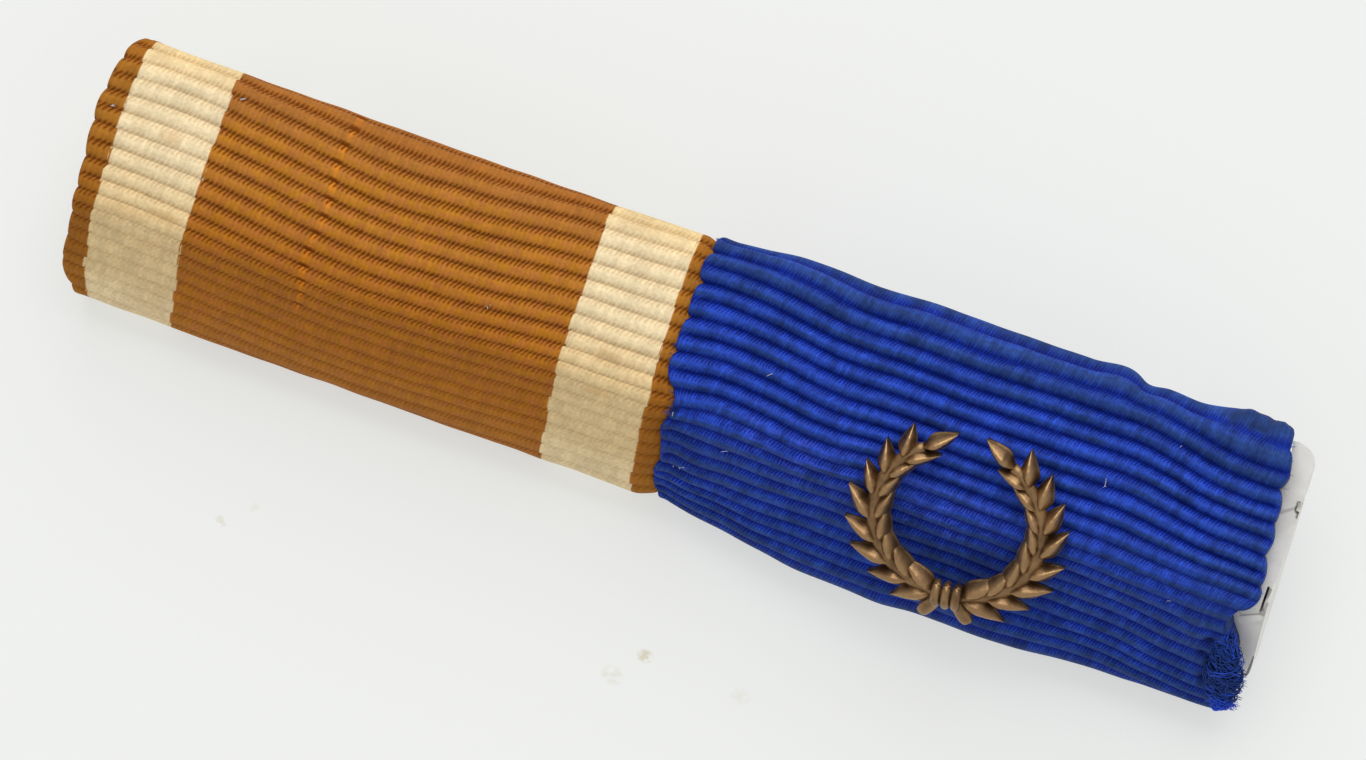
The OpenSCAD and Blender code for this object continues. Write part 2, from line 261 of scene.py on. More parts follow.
# A vector made from its three numbers.
def joined(tree, x, y, z=0.0):
    node = tree.nodes.new("ShaderNodeCombineXYZ")
    for socket, value in zip(node.inputs, (x, y, z)):
        plug(tree, socket, value)
    return node.outputs[0]


# A vector attribute of the mesh, whole and as its three numbers.
def attributeParts(tree, name):
    source = tree.nodes.new("ShaderNodeAttribute")
    source.attribute_name = name
    parts = tree.nodes.new("ShaderNodeSeparateXYZ")
    tree.links.new(source.outputs["Vector"], parts.inputs[0])
    return source.outputs["Vector"], *parts.outputs


# Places on the piece, in metres.
def objectPlace(tree):
    return tree.nodes.new("ShaderNodeTexCoord").outputs["Object"]


# Places squeezed across X by a factor, so that a pattern on them runs along the bar.
def alongBar(tree, place, factor):
    node = tree.nodes.new("ShaderNodeMapping")
    node.inputs["Scale"].default_value = (1.0, factor, factor)
    tree.links.new(place, node.inputs["Vector"])
    return node.outputs[0]


# Factor that swings about 1 by the given share.
def around(tree, value, low, high, share):
    return spread(tree, value, low, high, 1 - share, 1 + share)


# A Bump node on the shader: height times distance, in metres.
def bumped(tree, shader, height, distance, strength=1.0):
    node = tree.nodes.new("ShaderNodeBump")
    node.inputs["Strength"].default_value = strength
    node.inputs["Distance"].default_value = distance
    tree.links.new(height, node.inputs["Height"])
    tree.links.new(node.outputs[0], shader.inputs["Normal"])


# Cloth

# What both cloths share. A noise has its scale per millimetre, its detail and its roughness.
clothGrain = {
    "wobble": (1.1, 3.0, 0.6),  # wavering of the threads
    "uneven": (2.3, 2.0, 0.6),  # strength of the dark strokes between threads
    "mottle": (4.5, 2.0, 0.6),
    "mottleSqueeze": 1.3,  # of the mottle up the face
    "streak": (1.1, 3.0, 0.6),  # streaks along each rib
    "streakStep": 7.3,  # from one rib's streaks to the next rib's
    "patch": (0.35, 3.0, 0.6),
    "ridgeBand": (-1.5, 0.5),  # span of s over which the lower face's look turns into the upper's
    "ownRelief": 0.25,  # share of each float's own height in the relief
}


# Number of the thread at a place, with its fraction: x over the pitch of the threads, with a
# slant over each rib, a swing in each valley and a wavering by a noise.
def threadNumber(tree, place, x, rib, look):
    wobble = calc(tree, "SUBTRACT", noise(tree, place, *clothGrain["wobble"]), 0.5)
    dive = calc(tree, "SINE", calc(tree, "MULTIPLY", rib, 2 * np.pi))
    start = calc(tree, "MULTIPLY_ADD", rib, -look["slant"], x)
    start = calc(tree, "MULTIPLY_ADD", dive, -look["valleySlant"], start)
    start = calc(tree, "MULTIPLY_ADD", wobble, look["wobble"], start)
    return calc(tree, "DIVIDE", start, look["threadPitch"])


# Random number of each float, which is the stretch of one thread over one rib.
def floatNumber(tree, thread, row):
    single = tree.nodes.new("ShaderNodeTexWhiteNoise")
    single.noise_dimensions = "2D"
    tree.links.new(joined(tree, calc(tree, "FLOOR", thread), row), single.inputs["Vector"])
    return single.outputs["Value"]


# Painted shade: dark strokes in the gaps between threads near the middle of the strokes, and a painted shade
# in each valley, both less where the ribs are flattened, and a faint hatch of painted shade in all gaps.
def clothPaintedShade(tree, place, rib, s, rise, crown, flattened, look):
    gapLine = calc(tree, "POWER", calc(tree, "SUBTRACT", 1.0, crown), look["gapPower"])
    centre = spread(tree, s, *clothGrain["ridgeBand"], look["lowCentre"], look["strokeCentre"])
    fromStroke = calc(tree, "FRACT", calc(tree, "SUBTRACT", calc(tree, "ADD", rib, 0.5), centre))
    fromStroke = calc(tree, "ABSOLUTE", calc(tree, "SUBTRACT", fromStroke, 0.5))
    inStrokes = spread(tree, fromStroke, look["strokeReach"] * 0.4, look["strokeReach"], 1.0, 0.0)
    uneven = noise(tree, place, *clothGrain["uneven"])
    share = spread(tree, s, *look["strokesFrom"], look["lowStrokes"], look["strokes"])
    strokes = calc(tree, "MULTIPLY", gapLine, inStrokes)
    strokes = calc(tree, "MULTIPLY", strokes, around(tree, uneven, 0.3, 0.7, look["unevenStrokes"]))
    strokes = calc(tree, "MULTIPLY", strokes, share)
    valley = calc(tree, "POWER", calc(tree, "SUBTRACT", 1.0, rise), look["valleyPower"])
    valley = calc(tree, "MULTIPLY", valley, spread(tree, s, 0.0, 2.0, look["lowValley"], look["valley"]))
    dark = calc(tree, "ADD", strokes, valley)
    dark = calc(tree, "MULTIPLY", dark, calc(tree, "SUBTRACT", 1.0, flattened))
    return calc(tree, "MULTIPLY_ADD", gapLine, look["hatch"], dark, clamp=True)


# Lightness about 1: the product of each float's own shade, a mottle, streaks along each rib and large
# patches, less the darkening of rumpled spots, painted shade in their dips and folds.
def clothLightness(tree, place, x, s, row, own, dimmed, look):
    places = {
        "mottle": joined(tree, x, calc(tree, "MULTIPLY", s, clothGrain["mottleSqueeze"])),
        "streak": joined(tree, x, calc(tree, "MULTIPLY", row, clothGrain["streakStep"])),
        "patch": place,
    }
    light = around(tree, own, 0.0, 1.0, look["threadShade"])
    for key, where in places.items():
        swing = around(tree, noise(tree, where, *clothGrain[key]), 0.25, 0.75, look[key])
        light = calc(tree, "MULTIPLY", light, swing)
    return calc(tree, "MULTIPLY", light, calc(tree, "SUBTRACT", 1.0, dimmed))


# Grosgrain: threads that run up the face over each rib and dive into the valleys between ribs.
# The attribute weave holds x along the bar, the rib number with its fraction, and s up the face.
# The attribute rumple holds how far the ribs are flattened there and how dark the spot is.
# Its second argument gives, from tree, x, s, part and own, a thread's colour on top and the colour of the
# painted shade between the threads.
def clothMaterial(name, dyeAndPaintedLight, look):
    material, tree, shader = newMaterial(name)
    place, x, rib, s = attributeParts(tree, "weave")
    _, flattened, dimmed, _ = attributeParts(tree, "rumple")
    part = calc(tree, "FRACT", rib)
    row = calc(tree, "FLOOR", rib)
    rise = calc(tree, "SINE", calc(tree, "MULTIPLY", part, np.pi))  # 0 in a valley, 1 on a crest
    thread = threadNumber(tree, place, x, rib, look)
    crown = calc(tree, "ABSOLUTE", calc(tree, "SINE", calc(tree, "MULTIPLY", thread, np.pi)))
    own = floatNumber(tree, thread, row)
    dark = clothPaintedShade(tree, place, rib, s, rise, crown, flattened, look)
    top, deep = dyeAndPaintedLight(tree, x, s, part, own)
    # painted shade: the thread's colour is mixed towards the colour of the shade between threads
    shade = tree.nodes.new("ShaderNodeVectorMath")
    shade.operation = "SCALE"
    tree.links.new(mixed(tree, dark, top, deep), shade.inputs[0])
    tree.links.new(clothLightness(tree, place, x, s, row, own, dimmed, look), shade.inputs["Scale"])
    tree.links.new(shade.outputs[0], shader.inputs["Base Color"])
    relief = calc(tree, "MULTIPLY", crown, spread(tree, rise, 0.0, 0.9, 1.0, look["crestRelief"]))
    relief = calc(tree, "MULTIPLY_ADD", own, clothGrain["ownRelief"], relief)
    bumped(tree, shader, relief, look["bumpDistance"] / 1000, look["bumpStrength"])
    shader.inputs["Roughness"].default_value = look["roughness"]
    shader.inputs["Specular IOR Level"].default_value = look["specular"]
    shader.inputs["Sheen Weight"].default_value = look["sheen"]
    shader.inputs["Sheen Roughness"].default_value = 0.5
    shader.inputs["Sheen Tint"].default_value = (*look["sheenTint"], 1.0)
    return material


# Soft-edged spot round x0, s0: 1 in its middle and 0 outside its two radii.
def spot(tree, x, s, row):
    x0, s0, radiusX, radiusS, strength = row
    a = calc(tree, "DIVIDE", calc(tree, "SUBTRACT", x, x0), radiusX)
    b = calc(tree, "DIVIDE", calc(tree, "SUBTRACT", s, s0), radiusS)
    far = calc(tree, "ADD", calc(tree, "MULTIPLY", a, a), calc(tree, "MULTIPLY", b, b))
    return spread(tree, far, 0.1, 1.0, strength, 0.0)


# Sum of the spots of a table with rows [x, s, radius along x, radius along s, strength].
def spots(tree, x, s, rows):
    total = 0.0
    for row in rows:
        total = calc(tree, "ADD", spot(tree, x, s, row), total)
    return total


brownLook = {
    "threadPitch": 0.23,  # one thread to the next, mm
    "slant": 0.25,  # sideways run of a thread over one rib, mm
    "valleySlant": 0.055,  # its extra sideways swing where it dives, mm
    "wobble": 0.25,  # its wavering, mm
    "gapPower": 0.8,  # less makes the gaps between threads look wider
    "strokeCentre": 0.96,  # middle of the dark strokes between threads, in ribs from a valley
    "lowCentre": 0.97,  # and below the ridge
    "strokeReach": 0.34,  # half the length of a stroke, in ribs
    # strokes, valley and hatch are darknesses of painted shade in the gaps between threads and in the valleys
    "strokes": 0.95,  # darkness of the strokes on the upper face
    "lowStrokes": 0.3,  # and on the lower one
    "strokesFrom": (-3.0, 2.0),  # span of s over which the strokes gain that darkness
    "unevenStrokes": 0.3,  # share by which their darkness swings
    "valleyPower": 1.8,  # more makes the dark valleys narrower
    "valley": 0.34,  # their darkness on the upper face
    "lowValley": 0.22,  # and on the lower one
    "hatch": 0.14,  # darkness of the gaps all over
    "threadShade": 0.05,  # shares by which the lightness swings, here from float to float
    "mottle": 0.1,
    "streak": 0.05,
    "patch": 0.05,
    "crestRelief": 0.55,  # share of the threads' relief that is left on the crests
    "bumpDistance": 0.05,  # mm
    "bumpStrength": 0.3,
    "roughness": 0.85,
    "specular": 0.1,
    "sheen": 0.03,
    "sheenTint": (1.0, 0.85, 0.65),
    "brown": (0.5, 0.201, 0.017),
    "redBrown": (0.49, 0.176, 0.034),
    "tint": (1.7, 3.0, 0.6),  # noise by which these two change places
    "worn": (0.42, 0.165, 0.036),
    "tired": (0.45, 3.0, 0.65),  # noise of the worn patches and of the stains on the cream
    # colour of the painted shade between the threads and in pits
    "shadedBrown": (0.19, 0.048, 0.002),
    "seam": (0.4, 0.16, 0.02),  # the brown beyond both stripes
    "cream": (0.88, 0.72, 0.45),
    "stain": (0.68, 0.46, 0.22),
    # colour of the painted shade between the cream threads
    "shadedCream": (0.72, 0.54, 0.31),
    "stripes": [(-29.0, -24.5), (-5.42, -1.0)],  # x of the edges of both cream stripes
    "ragged": 0.16,  # width over which single threads make those edges ragged
    "crease": (0.75, 0.25, 0.02),  # colour of the pulled thread
    "creaseX": -18.45,
    "creaseFrom": (-3.4, -1.5),  # span of s over which it appears
    "creaseSway": (1.3, 0.12),  # radians of its sway per mm, and its width
    "under": (0.88, 0.81, 0.68),  # painted shade just below the ridge and at the upper long edge, a factor on the colours
    "stains": [
        [-26.6, 4.3, 0.8, 0.5, 0.5], [-25.7, 0.6, 1.1, 0.4, 0.6], [-3.3, 1.4, 1.0, 0.5, 0.4],
        [-3.3, -0.5, 0.9, 0.4, 0.45], [-27.5, 0.2, 1.6, 0.5, 0.3],
    ],
}


# 1 between the two edges of each stripe and 0 elsewhere. A random shift of each float makes the
# edges ragged.
def inStripes(tree, x, own):
    ragged = brownLook["ragged"]
    place = calc(tree, "MULTIPLY_ADD", own, ragged, calc(tree, "SUBTRACT", x, ragged / 2))
    total = 0.0
    for low, high in brownLook["stripes"]:
        fromLow = spread(tree, place, low - 0.04, low + 0.04)
        toHigh = spread(tree, place, high - 0.04, high + 0.04, 1.0, 0.0)
        total = calc(tree, "ADD", calc(tree, "MULTIPLY", fromLow, toHigh), total, clamp=True)
    return total


# The brown with its pulled thread: a line at creaseX that sways with s, bright on the upper part of each rib,
# with a painted shade of deep brown in a pit just above each valley.
def creased(tree, x, s, part, colour):
    look = brownLook
    turns, width = look["creaseSway"]
    sway = calc(tree, "SINE", calc(tree, "MULTIPLY", s, turns))
    offCrease = calc(tree, "MULTIPLY_ADD", sway, width, calc(tree, "SUBTRACT", x, look["creaseX"]))
    offCrease = calc(tree, "ABSOLUTE", offCrease)
    shown = spread(tree, s, *look["creaseFrom"])
    pulled = calc(tree, "MULTIPLY", spread(tree, offCrease, 0.05, 0.25, 1.0, 0.0), shown)
    pulled = calc(tree, "MULTIPLY", pulled, spread(tree, part, 0.45, 0.85, 0.25, 1.0))
    # painted shade of the pits beside the pulled thread
    pitShade = calc(tree, "MULTIPLY", spread(tree, offCrease, 0.1, 0.4, 1.0, 0.0), shown)
    pitShade = calc(tree, "MULTIPLY", pitShade, spread(tree, part, 0.12, 0.3, 1.0, 0.0))
    return mixed(tree, pitShade, mixed(tree, pulled, colour, look["crease"]), look["shadedBrown"])


# Cream between the two edges of each stripe and brown elsewhere, worn at the two long edges, with stains on
# the cream, and with painted shade just below the ridge and at the upper long edge.
def brownDyeAndPaintedShade(tree, x, s, part, own):
    look = brownLook
    tired = noise(tree, joined(tree, x, s), *look["tired"])
    stained = calc(tree, "ADD", spots(tree, x, s, look["stains"]), spread(tree, tired, 0.5, 0.8, 0.0, 0.35))
    pale = mixed(tree, stained, look["cream"], look["stain"])
    wornEdge = spread(tree, calc(tree, "ABSOLUTE", s), 5.0, 8.0, 0.0, 0.8)
    wornEdge = calc(tree, "ADD", wornEdge, spread(tree, tired, 0.45, 0.75, 0.0, 0.5), clamp=True)
    tint = noise(tree, joined(tree, x, s), *look["tint"])
    dark = mixed(tree, spread(tree, tint, 0.4, 0.62), look["brown"], look["redBrown"])
    dark = mixed(tree, wornEdge, dark, look["worn"])
    dark = mixed(tree, spread(tree, x, -1.1, -0.8), dark, look["seam"])
    dark = mixed(tree, spread(tree, x, -28.9, -29.1), dark, look["seam"])
    dark = creased(tree, x, s, part, dark)
    cream = inStripes(tree, x, own)
    top, deep = mixed(tree, cream, dark, pale), mixed(tree, cream, look["shadedBrown"], look["shadedCream"])
    # painted shade: darker just below the ridge and at the upper long edge
    under = calc(tree, "MULTIPLY", spread(tree, s, 0.0, 4.0, 1.0, 0.0), spread(tree, s, -6.0, -4.0, 0.4, 1.0))
    under = calc(tree, "ADD", under, spread(tree, s, 6.6, 8.4), clamp=True)
    return tuple(mixed(tree, under, colour, look["under"], "MULTIPLY") for colour in (top, deep))


blueLook = {
    "threadPitch": 0.16,
    "slant": 0.32,
    "valleySlant": 0.03,
    "wobble": 0.3,
    "gapPower": 0.9,
    "strokeCentre": 0.93,
    "lowCentre": 0.97,
    "strokeReach": 0.38,
    # strokes, valley and hatch are darknesses of painted shade, as in brownLook
    "strokes": 0.7,
    "lowStrokes": 1.0,
    "strokesFrom": (-0.5, 1.5),
    "unevenStrokes": 0.8,
    "valleyPower": 1.25,
    "valley": 0.8,
    "lowValley": 0.55,
    "hatch": 0.2,
    "threadShade": 0.13,
    "mottle": 0.2,
    "streak": 0.3,
    "patch": 0.08,
    "crestRelief": 0.6,
    "bumpDistance": 0.05,
    "bumpStrength": 0.3,
    "roughness": 0.6,
    "specular": 0.1,
    "sheen": 0.02,
    "sheenTint": (0.55, 0.65, 1.0),
    "bright": (0.02, 0.066, 0.46),
    # dull: greyer blue, painted as shade and sheen on the lower side of each rib, and the colour of faded
    # patches
    "dull": (0.02, 0.056, 0.21),
    # gleam: colour of a painted violet highlight
    "gleam": (0.055, 0.095, 0.66),
    # colour of the painted shade between the threads
    "deep": (0.0015, 0.014, 0.23),
    "smooth": (0.3, 0.85),  # least and most of the dull colour painted as shade and sheen on the lower side of a rib
    "lowSideShade": (0.6, 0.95),  # and on the lower face
    "sideShadeFrom": (0.0, 0.13),  # where it starts, in ribs from a valley, on the upper and lower face
    "sideShadeTo": (0.47, 0.71),  # and where it ends
    "sideShadeSoft": 0.12,  # softness of both ends
    "worn": (0.8, 3.0, 0.65),  # noise of the faded patches
    "wornSqueeze": 0.45,  # of that noise along the bar
    "shine": (1.3, 2.0, 0.6),  # noise of the painted highlight
    "shineSqueeze": (0.6, 2.0),  # of that noise along the bar and up the face
    "gleamS": -0.5,  # middle of the gleam's band along the ridge
    "gleamReach": (1.0, 3.0),  # where it starts to fade and where it ends, from that middle
    "gleamShare": 0.65,
    "gleamStart": (2.0, 5.0),  # span of x over which it comes
    "gleamEnd": (12.0, 22.0),  # and over which it goes
}


# Share of the dull colour painted as shade and sheen on the lower side of each rib, wider and duller on the
# lower face.
def ribSideShadeAndSheen(tree, s, part, worn):
    look = blueLook
    down = spread(tree, s, *clothGrain["ridgeBand"], 1.0, 0.0)
    start, end = (
        calc(tree, "MULTIPLY_ADD", down, low - up, up) for up, low in (look["sideShadeFrom"], look["sideShadeTo"])
    )
    soft = look["sideShadeSoft"]
    before = spread(tree, part, start, calc(tree, "ADD", start, soft))
    after = spread(tree, part, calc(tree, "SUBTRACT", end, soft), calc(tree, "ADD", end, soft), 1.0, 0.0)
    upSideShade, lowSideShade = (spread(tree, worn, 0.35, 0.6, *look[key]) for key in ("smooth", "lowSideShade"))
    share = calc(tree, "MULTIPLY_ADD", calc(tree, "SUBTRACT", lowSideShade, upSideShade), down, upSideShade)
    return calc(tree, "MULTIPLY", calc(tree, "MULTIPLY", before, after), share)


# Share of the painted violet highlight: where a noise is high, in a band along the ridge.
def gleamShare(tree, x, s):
    look = blueLook
    places = [calc(tree, "MULTIPLY", value, factor) for value, factor in zip((x, s), look["shineSqueeze"])]
    share = spread(tree, noise(tree, joined(tree, *places), *look["shine"]), 0.42, 0.62)
    fromRidge = calc(tree, "ABSOLUTE", calc(tree, "SUBTRACT", s, look["gleamS"]))
    band = spread(tree, fromRidge, *look["gleamReach"], look["gleamShare"], 0.0)
    share = calc(tree, "MULTIPLY", share, band)
    share = calc(tree, "MULTIPLY", share, spread(tree, x, *look["gleamStart"]))
    return calc(tree, "MULTIPLY", share, spread(tree, x, *look["gleamEnd"], 1.0, 0.1))


# Deep blue, with the dull colour painted as shade and sheen on the lower side of each rib, dull also in faded
# patches and towards the long edges and the right end, and with a painted violet highlight here and there
# along the ridge.
def blueDyeAndPaintedLight(tree, x, s, part, own):
    look = blueLook
    worn = joined(tree, calc(tree, "MULTIPLY", x, look["wornSqueeze"]), s)
    worn = noise(tree, worn, *look["worn"])
    edge = spread(tree, calc(tree, "ABSOLUTE", s), 5.2, 7.5, 0.0, 0.55)
    edge = calc(tree, "ADD", edge, spread(tree, x, 25.0, 28.5, 0.0, 0.45))
    # painted shade and sheen on the lower side of each rib, plus dullness towards the long edges and the
    # right end
    dull = calc(tree, "ADD", ribSideShadeAndSheen(tree, s, part, worn), edge)
    dull = calc(tree, "ADD", dull, spread(tree, worn, 0.5, 0.75, 0.0, 0.35), clamp=True)
    # painted highlight mixed into the bright blue
    bright = mixed(tree, gleamShare(tree, x, s), look["bright"], look["gleam"])
    return mixed(tree, dull, bright, look["dull"]), look["deep"]


brownCloth = clothMaterial("brownCloth", brownDyeAndPaintedShade, brownLook)
blueCloth = clothMaterial("blueCloth", blueDyeAndPaintedLight, blueLook)
print("cloth materials made")

# Ribbons
# ribs: place of each valley between two ribs, as a length up the face from the ridge, from the
# rib numbered firstRib. wave: [x, shift of the ribs at s 6.5, at 3.5, at 1, at -3]
# slack: [x, lower edge, upper edge]. left and right: [s, x of that woven edge]
# lift: [x, s, reach along x, reach along s, height, share by which the ribs are flattened, darkening, which
# is painted shade in the dips and folds and a darker patch elsewhere]

brownRibbon = {
    "x0": -30.0,
    "width": 30.0,
    "firstRib": -7,
    "ribs": [
        -6.85, -5.9, -4.95, -4.1, -3.15, -2.1, -1.2, -0.25, 0.55, 1.3, 2.1, 2.95, 3.85, 4.75, 5.65, 6.55,
        7.45,
    ],
    "wave": [
        [-30, -0.15, 0.05, 0.0, 0.1], [-27, 0, 0, 0, 0], [-25, -0.07, -0.03, -0.12, -0.1],
        [-23, -0.28, -0.18, -0.28, -0.25], [-21, -0.45, -0.37, -0.48, -0.4],
        [-19, -0.68, -0.61, -0.68, -0.6], [-17, -0.89, -0.79, -0.82, -0.75],
        [-15, -0.97, -0.83, -0.85, -0.75], [-13, -0.86, -0.72, -0.75, -0.68],
        [-11, -0.77, -0.62, -0.65, -0.55], [-9, -0.57, -0.47, -0.45, -0.35],
        [-7, -0.34, -0.22, -0.25, -0.15], [-5, -0.23, -0.08, -0.1, 0.0], [-3, -0.17, -0.06, -0.1, 0.05],
        [0, 0, 0, 0, 0.1],
    ],
    "slack": [[-30, 0, 0], [-3, 0, 0], [0, 0, 0.1]],
    "left": [
        [-12, -29.5], [-8.5, -29.5], [-7, -29.75], [-6, -30.15], [-5, -30.35], [-4, -30.3], [-2, -30.2],
        [0, -30.2], [2, -30.3], [3.5, -30.45], [5, -30.5], [6, -30.35], [7, -30.2], [8, -30.0],
        [9, -29.6], [10, -29.3], [12, -29.4],
    ],
    "right": [
        [-12, 0.5], [-8, 0.55], [-7, 0.55], [-5.4, 0.4], [-3.7, 0.55], [-1.4, 0.4], [-0.5, 0.5],
        [0.1, 0.6], [0.6, 0.6], [1.2, 0.3], [1.7, 0.12], [3.7, 0.05], [5.3, 0.05], [7, -0.05], [8, 0],
        [12, 0.2],
    ],
    "lift": [],
    "ribDepth": 0.18,  # height of the ribs over their valleys on the upper face
    "lowDepth": 0.08,  # on the lower face
    "marginDepth": 0.24,  # and at the woven edges
    "crestPower": 0.75,  # less makes the ribs broader and the valleys narrower
    "bead": (0.1, 0.1),  # depth of the notches between the loops, left and right
    "lowBead": 0.08,  # and on the lower face
    "tuck": -0.3,  # height by which its right edge dips under the neighbour's
    "seed": 3,
}
blueRibbon = {
    "x0": 0.0,
    "width": 29.6,
    "firstRib": -9,
    "ribs": [
        -7.1, -6.4, -5.75, -5.1, -4.35, -3.45, -2.5, -1.55, -0.55, 0.45, 1.3, 2.15, 3.0, 3.85, 4.7, 5.55,
        6.35, 7.2, 8.05,
    ],
    "wave": [
        [0, -0.08, -0.25, -0.29, 0.2], [0.8, 0, -0.12, -0.23, 0.2], [2, 0, 0, 0, 0],
        [3.6, -0.1, -0.08, 0, 0.0], [5.2, -0.29, -0.22, -0.15, -0.05], [6.8, -0.51, -0.43, -0.35, 0.0],
        [8.4, -0.54, -0.52, -0.37, 0.05], [10, -0.5, -0.45, -0.2, 0.05], [14, -0.55, -0.48, -0.2, 0.15],
        [18, -0.42, -0.45, -0.25, 0.1], [20, -0.4, -0.4, -0.3, 0.2], [22, -0.38, -0.35, -0.33, 0.15],
        [24.2, -0.7, -0.58, -0.47, -0.05], [25.4, -0.95, -0.75, -0.52, -0.3],
        [26.6, -1.1, -0.88, -0.56, -0.5], [27.8, -1.15, -0.9, -0.55, -0.6], [30, -1.05, -1.0, -0.6, -0.5],
    ],
    "slack": [
        [0, -0.3, 0.1], [1, -0.1, 0.2], [2, 0.05, 0.32], [4, 0.3, 0.55], [6, 0.65, 0.55], [8, 0.9, 0.47],
        [10, 1.0, 0.58], [12.4, 1.1, 0.6], [14, 1.0, 0.6], [18.5, 1.0, 0.6], [20.8, 0.8, 0.65],
        [21.3, 0.75, 0.38], [22.4, 0.65, 0.42], [24, 0.55, 0.4], [26, 0.55, 0.75], [28, 0.55, 0.75],
        [30, 0.5, 0.7],
    ],
    "left": [
        [-12, 1.9], [-10.2, 1.8], [-9.2, 1.4], [-8.4, 0.95], [-7.7, 0.6], [-7.1, 0.42], [-5.4, 0.12],
        [-3.7, 0.32], [-1.4, 0.1], [-0.5, 0.27], [0.1, 0.4], [0.6, 0.35], [1.2, -0.12], [1.7, -0.32],
        [3.7, -0.42], [5.3, -0.4], [7, -0.45], [8, -0.35], [12, -0.2],
    ],
    "right": [
        [-12, 29.3], [-10, 29.4], [-8, 29.5], [-6, 29.6], [-4, 29.55], [-3, 29.3], [-2.4, 29.05],
        [-1.8, 28.85], [-1.1, 28.65], [-0.5, 28.9], [0.1, 29.45], [0.6, 29.7], [2, 29.65], [3, 29.5],
        [4, 29.45], [5, 29.3], [6, 29.22], [6.9, 29.18], [7.3, 29.15], [7.7, 29.1], [8.1, 29.0],
        [8.5, 28.85], [8.9, 28.65], [9.2, 28.25], [9.5, 27.9], [10.2, 27.5], [11, 27.4], [12, 27.5],
    ],
    "lift": [
        [29.4, -5.2, 0.9, 3.6, -0.1, 0.9, 0.5], [28.15, -2.9, 0.5, 0.5, -0.3, 0.6, 0.7],
        [28.45, -4.3, 0.45, 0.6, -0.3, 0.5, 0.75], [27.9, -4.0, 0.45, 0.45, -0.2, 0.4, 0.5],
        [28.3, -5.6, 0.4, 0.7, -0.25, 0.4, 0.6], [27.2, -2.4, 0.9, 1.2, 0.12, 0.2, 0],
        [0.5, -0.05, 0.4, 0.35, -0.3, 0.4, 0.8], [27.0, 9.0, 2.6, 1.1, 0.06, 0.85, 0.45],
        [26.4, 8.9, 0.5, 0.45, 0.12, 0.9, 0.35], [27.1, 8.3, 0.9, 0.3, -0.16, 0.9, 0.65],
        [28.1, 8.8, 0.35, 0.45, 0.14, 0.9, 0.3], [27.55, 8.9, 0.25, 0.5, -0.16, 0.9, 0.6],
        [25.8, 8.5, 0.3, 0.6, -0.1, 0.9, 0.5], [25, 0.3, 7, 1.9, 0, 0.35, 0.16],
        [0.8, -2.6, 3.0, 3.6, 0, 0, 0.2], [6, 0.9, 5, 1.6, 0, 0, 0.09],
    ],
    "ribDepth": 0.33,
    "lowDepth": 0.19,
    "marginDepth": 0.36,
    "crestPower": 0.85,
    "bead": (0.13, 0.2),
    "lowBead": 0.08,
    "tuck": 0.1,  # height by which its left edge rises over the neighbour's
    "seed": 8,
}
weave = {
    "ribParts": [0, 0.05, 0.12, 0.22, 0.36, 0.5, 0.64, 0.78, 0.88, 0.95],  # rows of points on a rib
    "columnStep": 0.15,
    "backPitch": 0.9,  # mean width of the ribs beyond the tables
    "waveHeights": [-3.0, 1.0, 3.5, 6.5],  # s of the columns of wave, the last column first
    "edgeR": 0.28,  # rounding of the woven edges
    "edgeSteps": 5,
    "loopReach": 0.75,  # width of the loops in which the ribs join in pairs at the woven edges
    "edgePull": 2.5,  # width over which an edge's own shape fades out
    "tuckReach": 0.9,  # width over which one ribbon dips under the other at the seam
    "depthSwing": 0.16,  # share by which the depth of the valleys swings
    "unevenHeight": 0.02,
    "flatShare": 0.85,  # share of the ribs' depth that goes where they are wholly flattened
}


# Rib number against place up the face, from one cut end of the ribbon to the other.
def ribPlaces(look):
    numbers = [look["firstRib"] + k for k in range(len(look["ribs"]))]
    below = round((look["ribs"][0] + lowEnd) / weave["backPitch"])
    above = round((topEnd - look["ribs"][-1]) / weave["backPitch"])
    numbers = np.array([numbers[0] - below, *numbers, numbers[-1] + above], float)
    return numbers, np.array([-lowEnd, *look["ribs"], topEnd])


# Shift of the ribs, from the table's columns at four heights, fading out past the edges.
def ribWave(look, x, s):
    heights = weave["waveHeights"]
    columns = [through(x, look["wave"], c) for c in (4, 3, 2, 1)]
    shift = columns[0] + 0 * s
    for k in range(3):
        share = eased((s - heights[k]) / (heights[k + 1] - heights[k]))
        shift = shift + (columns[k + 1] - columns[k]) * share
    return shift * eased(1 - (np.abs(s) - 8) / 3)


# How far the ribs are flattened and darkened, and how far the cloth is lifted: a smooth bump
# round the point of each row of lift, with the lifts added up and the rest at its greatest.
def rumples(look, x, s):
    flattened, dimmed, lift = (np.zeros(x.shape) for _ in range(3))
    for liftX, liftS, reachX, reachS, height, share, shade in look["lift"]:
        here = bump(x - liftX, reachX, reachX) * bump(s - liftS, reachS, reachS)
        lift = lift + height * here
        flattened = np.maximum(flattened, share * here**0.5)
        dimmed = np.maximum(dimmed, shade * here**0.7)
    return flattened, dimmed, lift


# Depth of the valleys: less on the lower face, swinging with a ripple, none between the two ribs
# of a loop and more between two loops.
def valleyDepth(look, x, s, toEdge, inLoop, joinedRibs):
    upper = eased((s + 0.4) / 2.2)
    swing = 1 + weave["depthSwing"] * ripple(x, 3 * s, look["seed"], 5.0)
    depth = (look["lowDepth"] + (look["ribDepth"] - look["lowDepth"]) * upper) * swing
    inside = depth * eased((toEdge - 0.05) / 0.5)
    return np.where(joinedRibs, inside, depth + (look["marginDepth"] - look["ribDepth"]) * inLoop)


# Height of the loose cloth over the two long edges: a bump there, as high as slack says.
def slackHeight(look, x, s):
    low, high = through(x, look["slack"], 1), through(x, look["slack"], 2)
    q = np.abs(s) - faceEnd
    return np.where(s < 0, low * bump(q - 0.8, 4.2, 2.3), high * bump(q - 2.2, 4.2, 2.3))


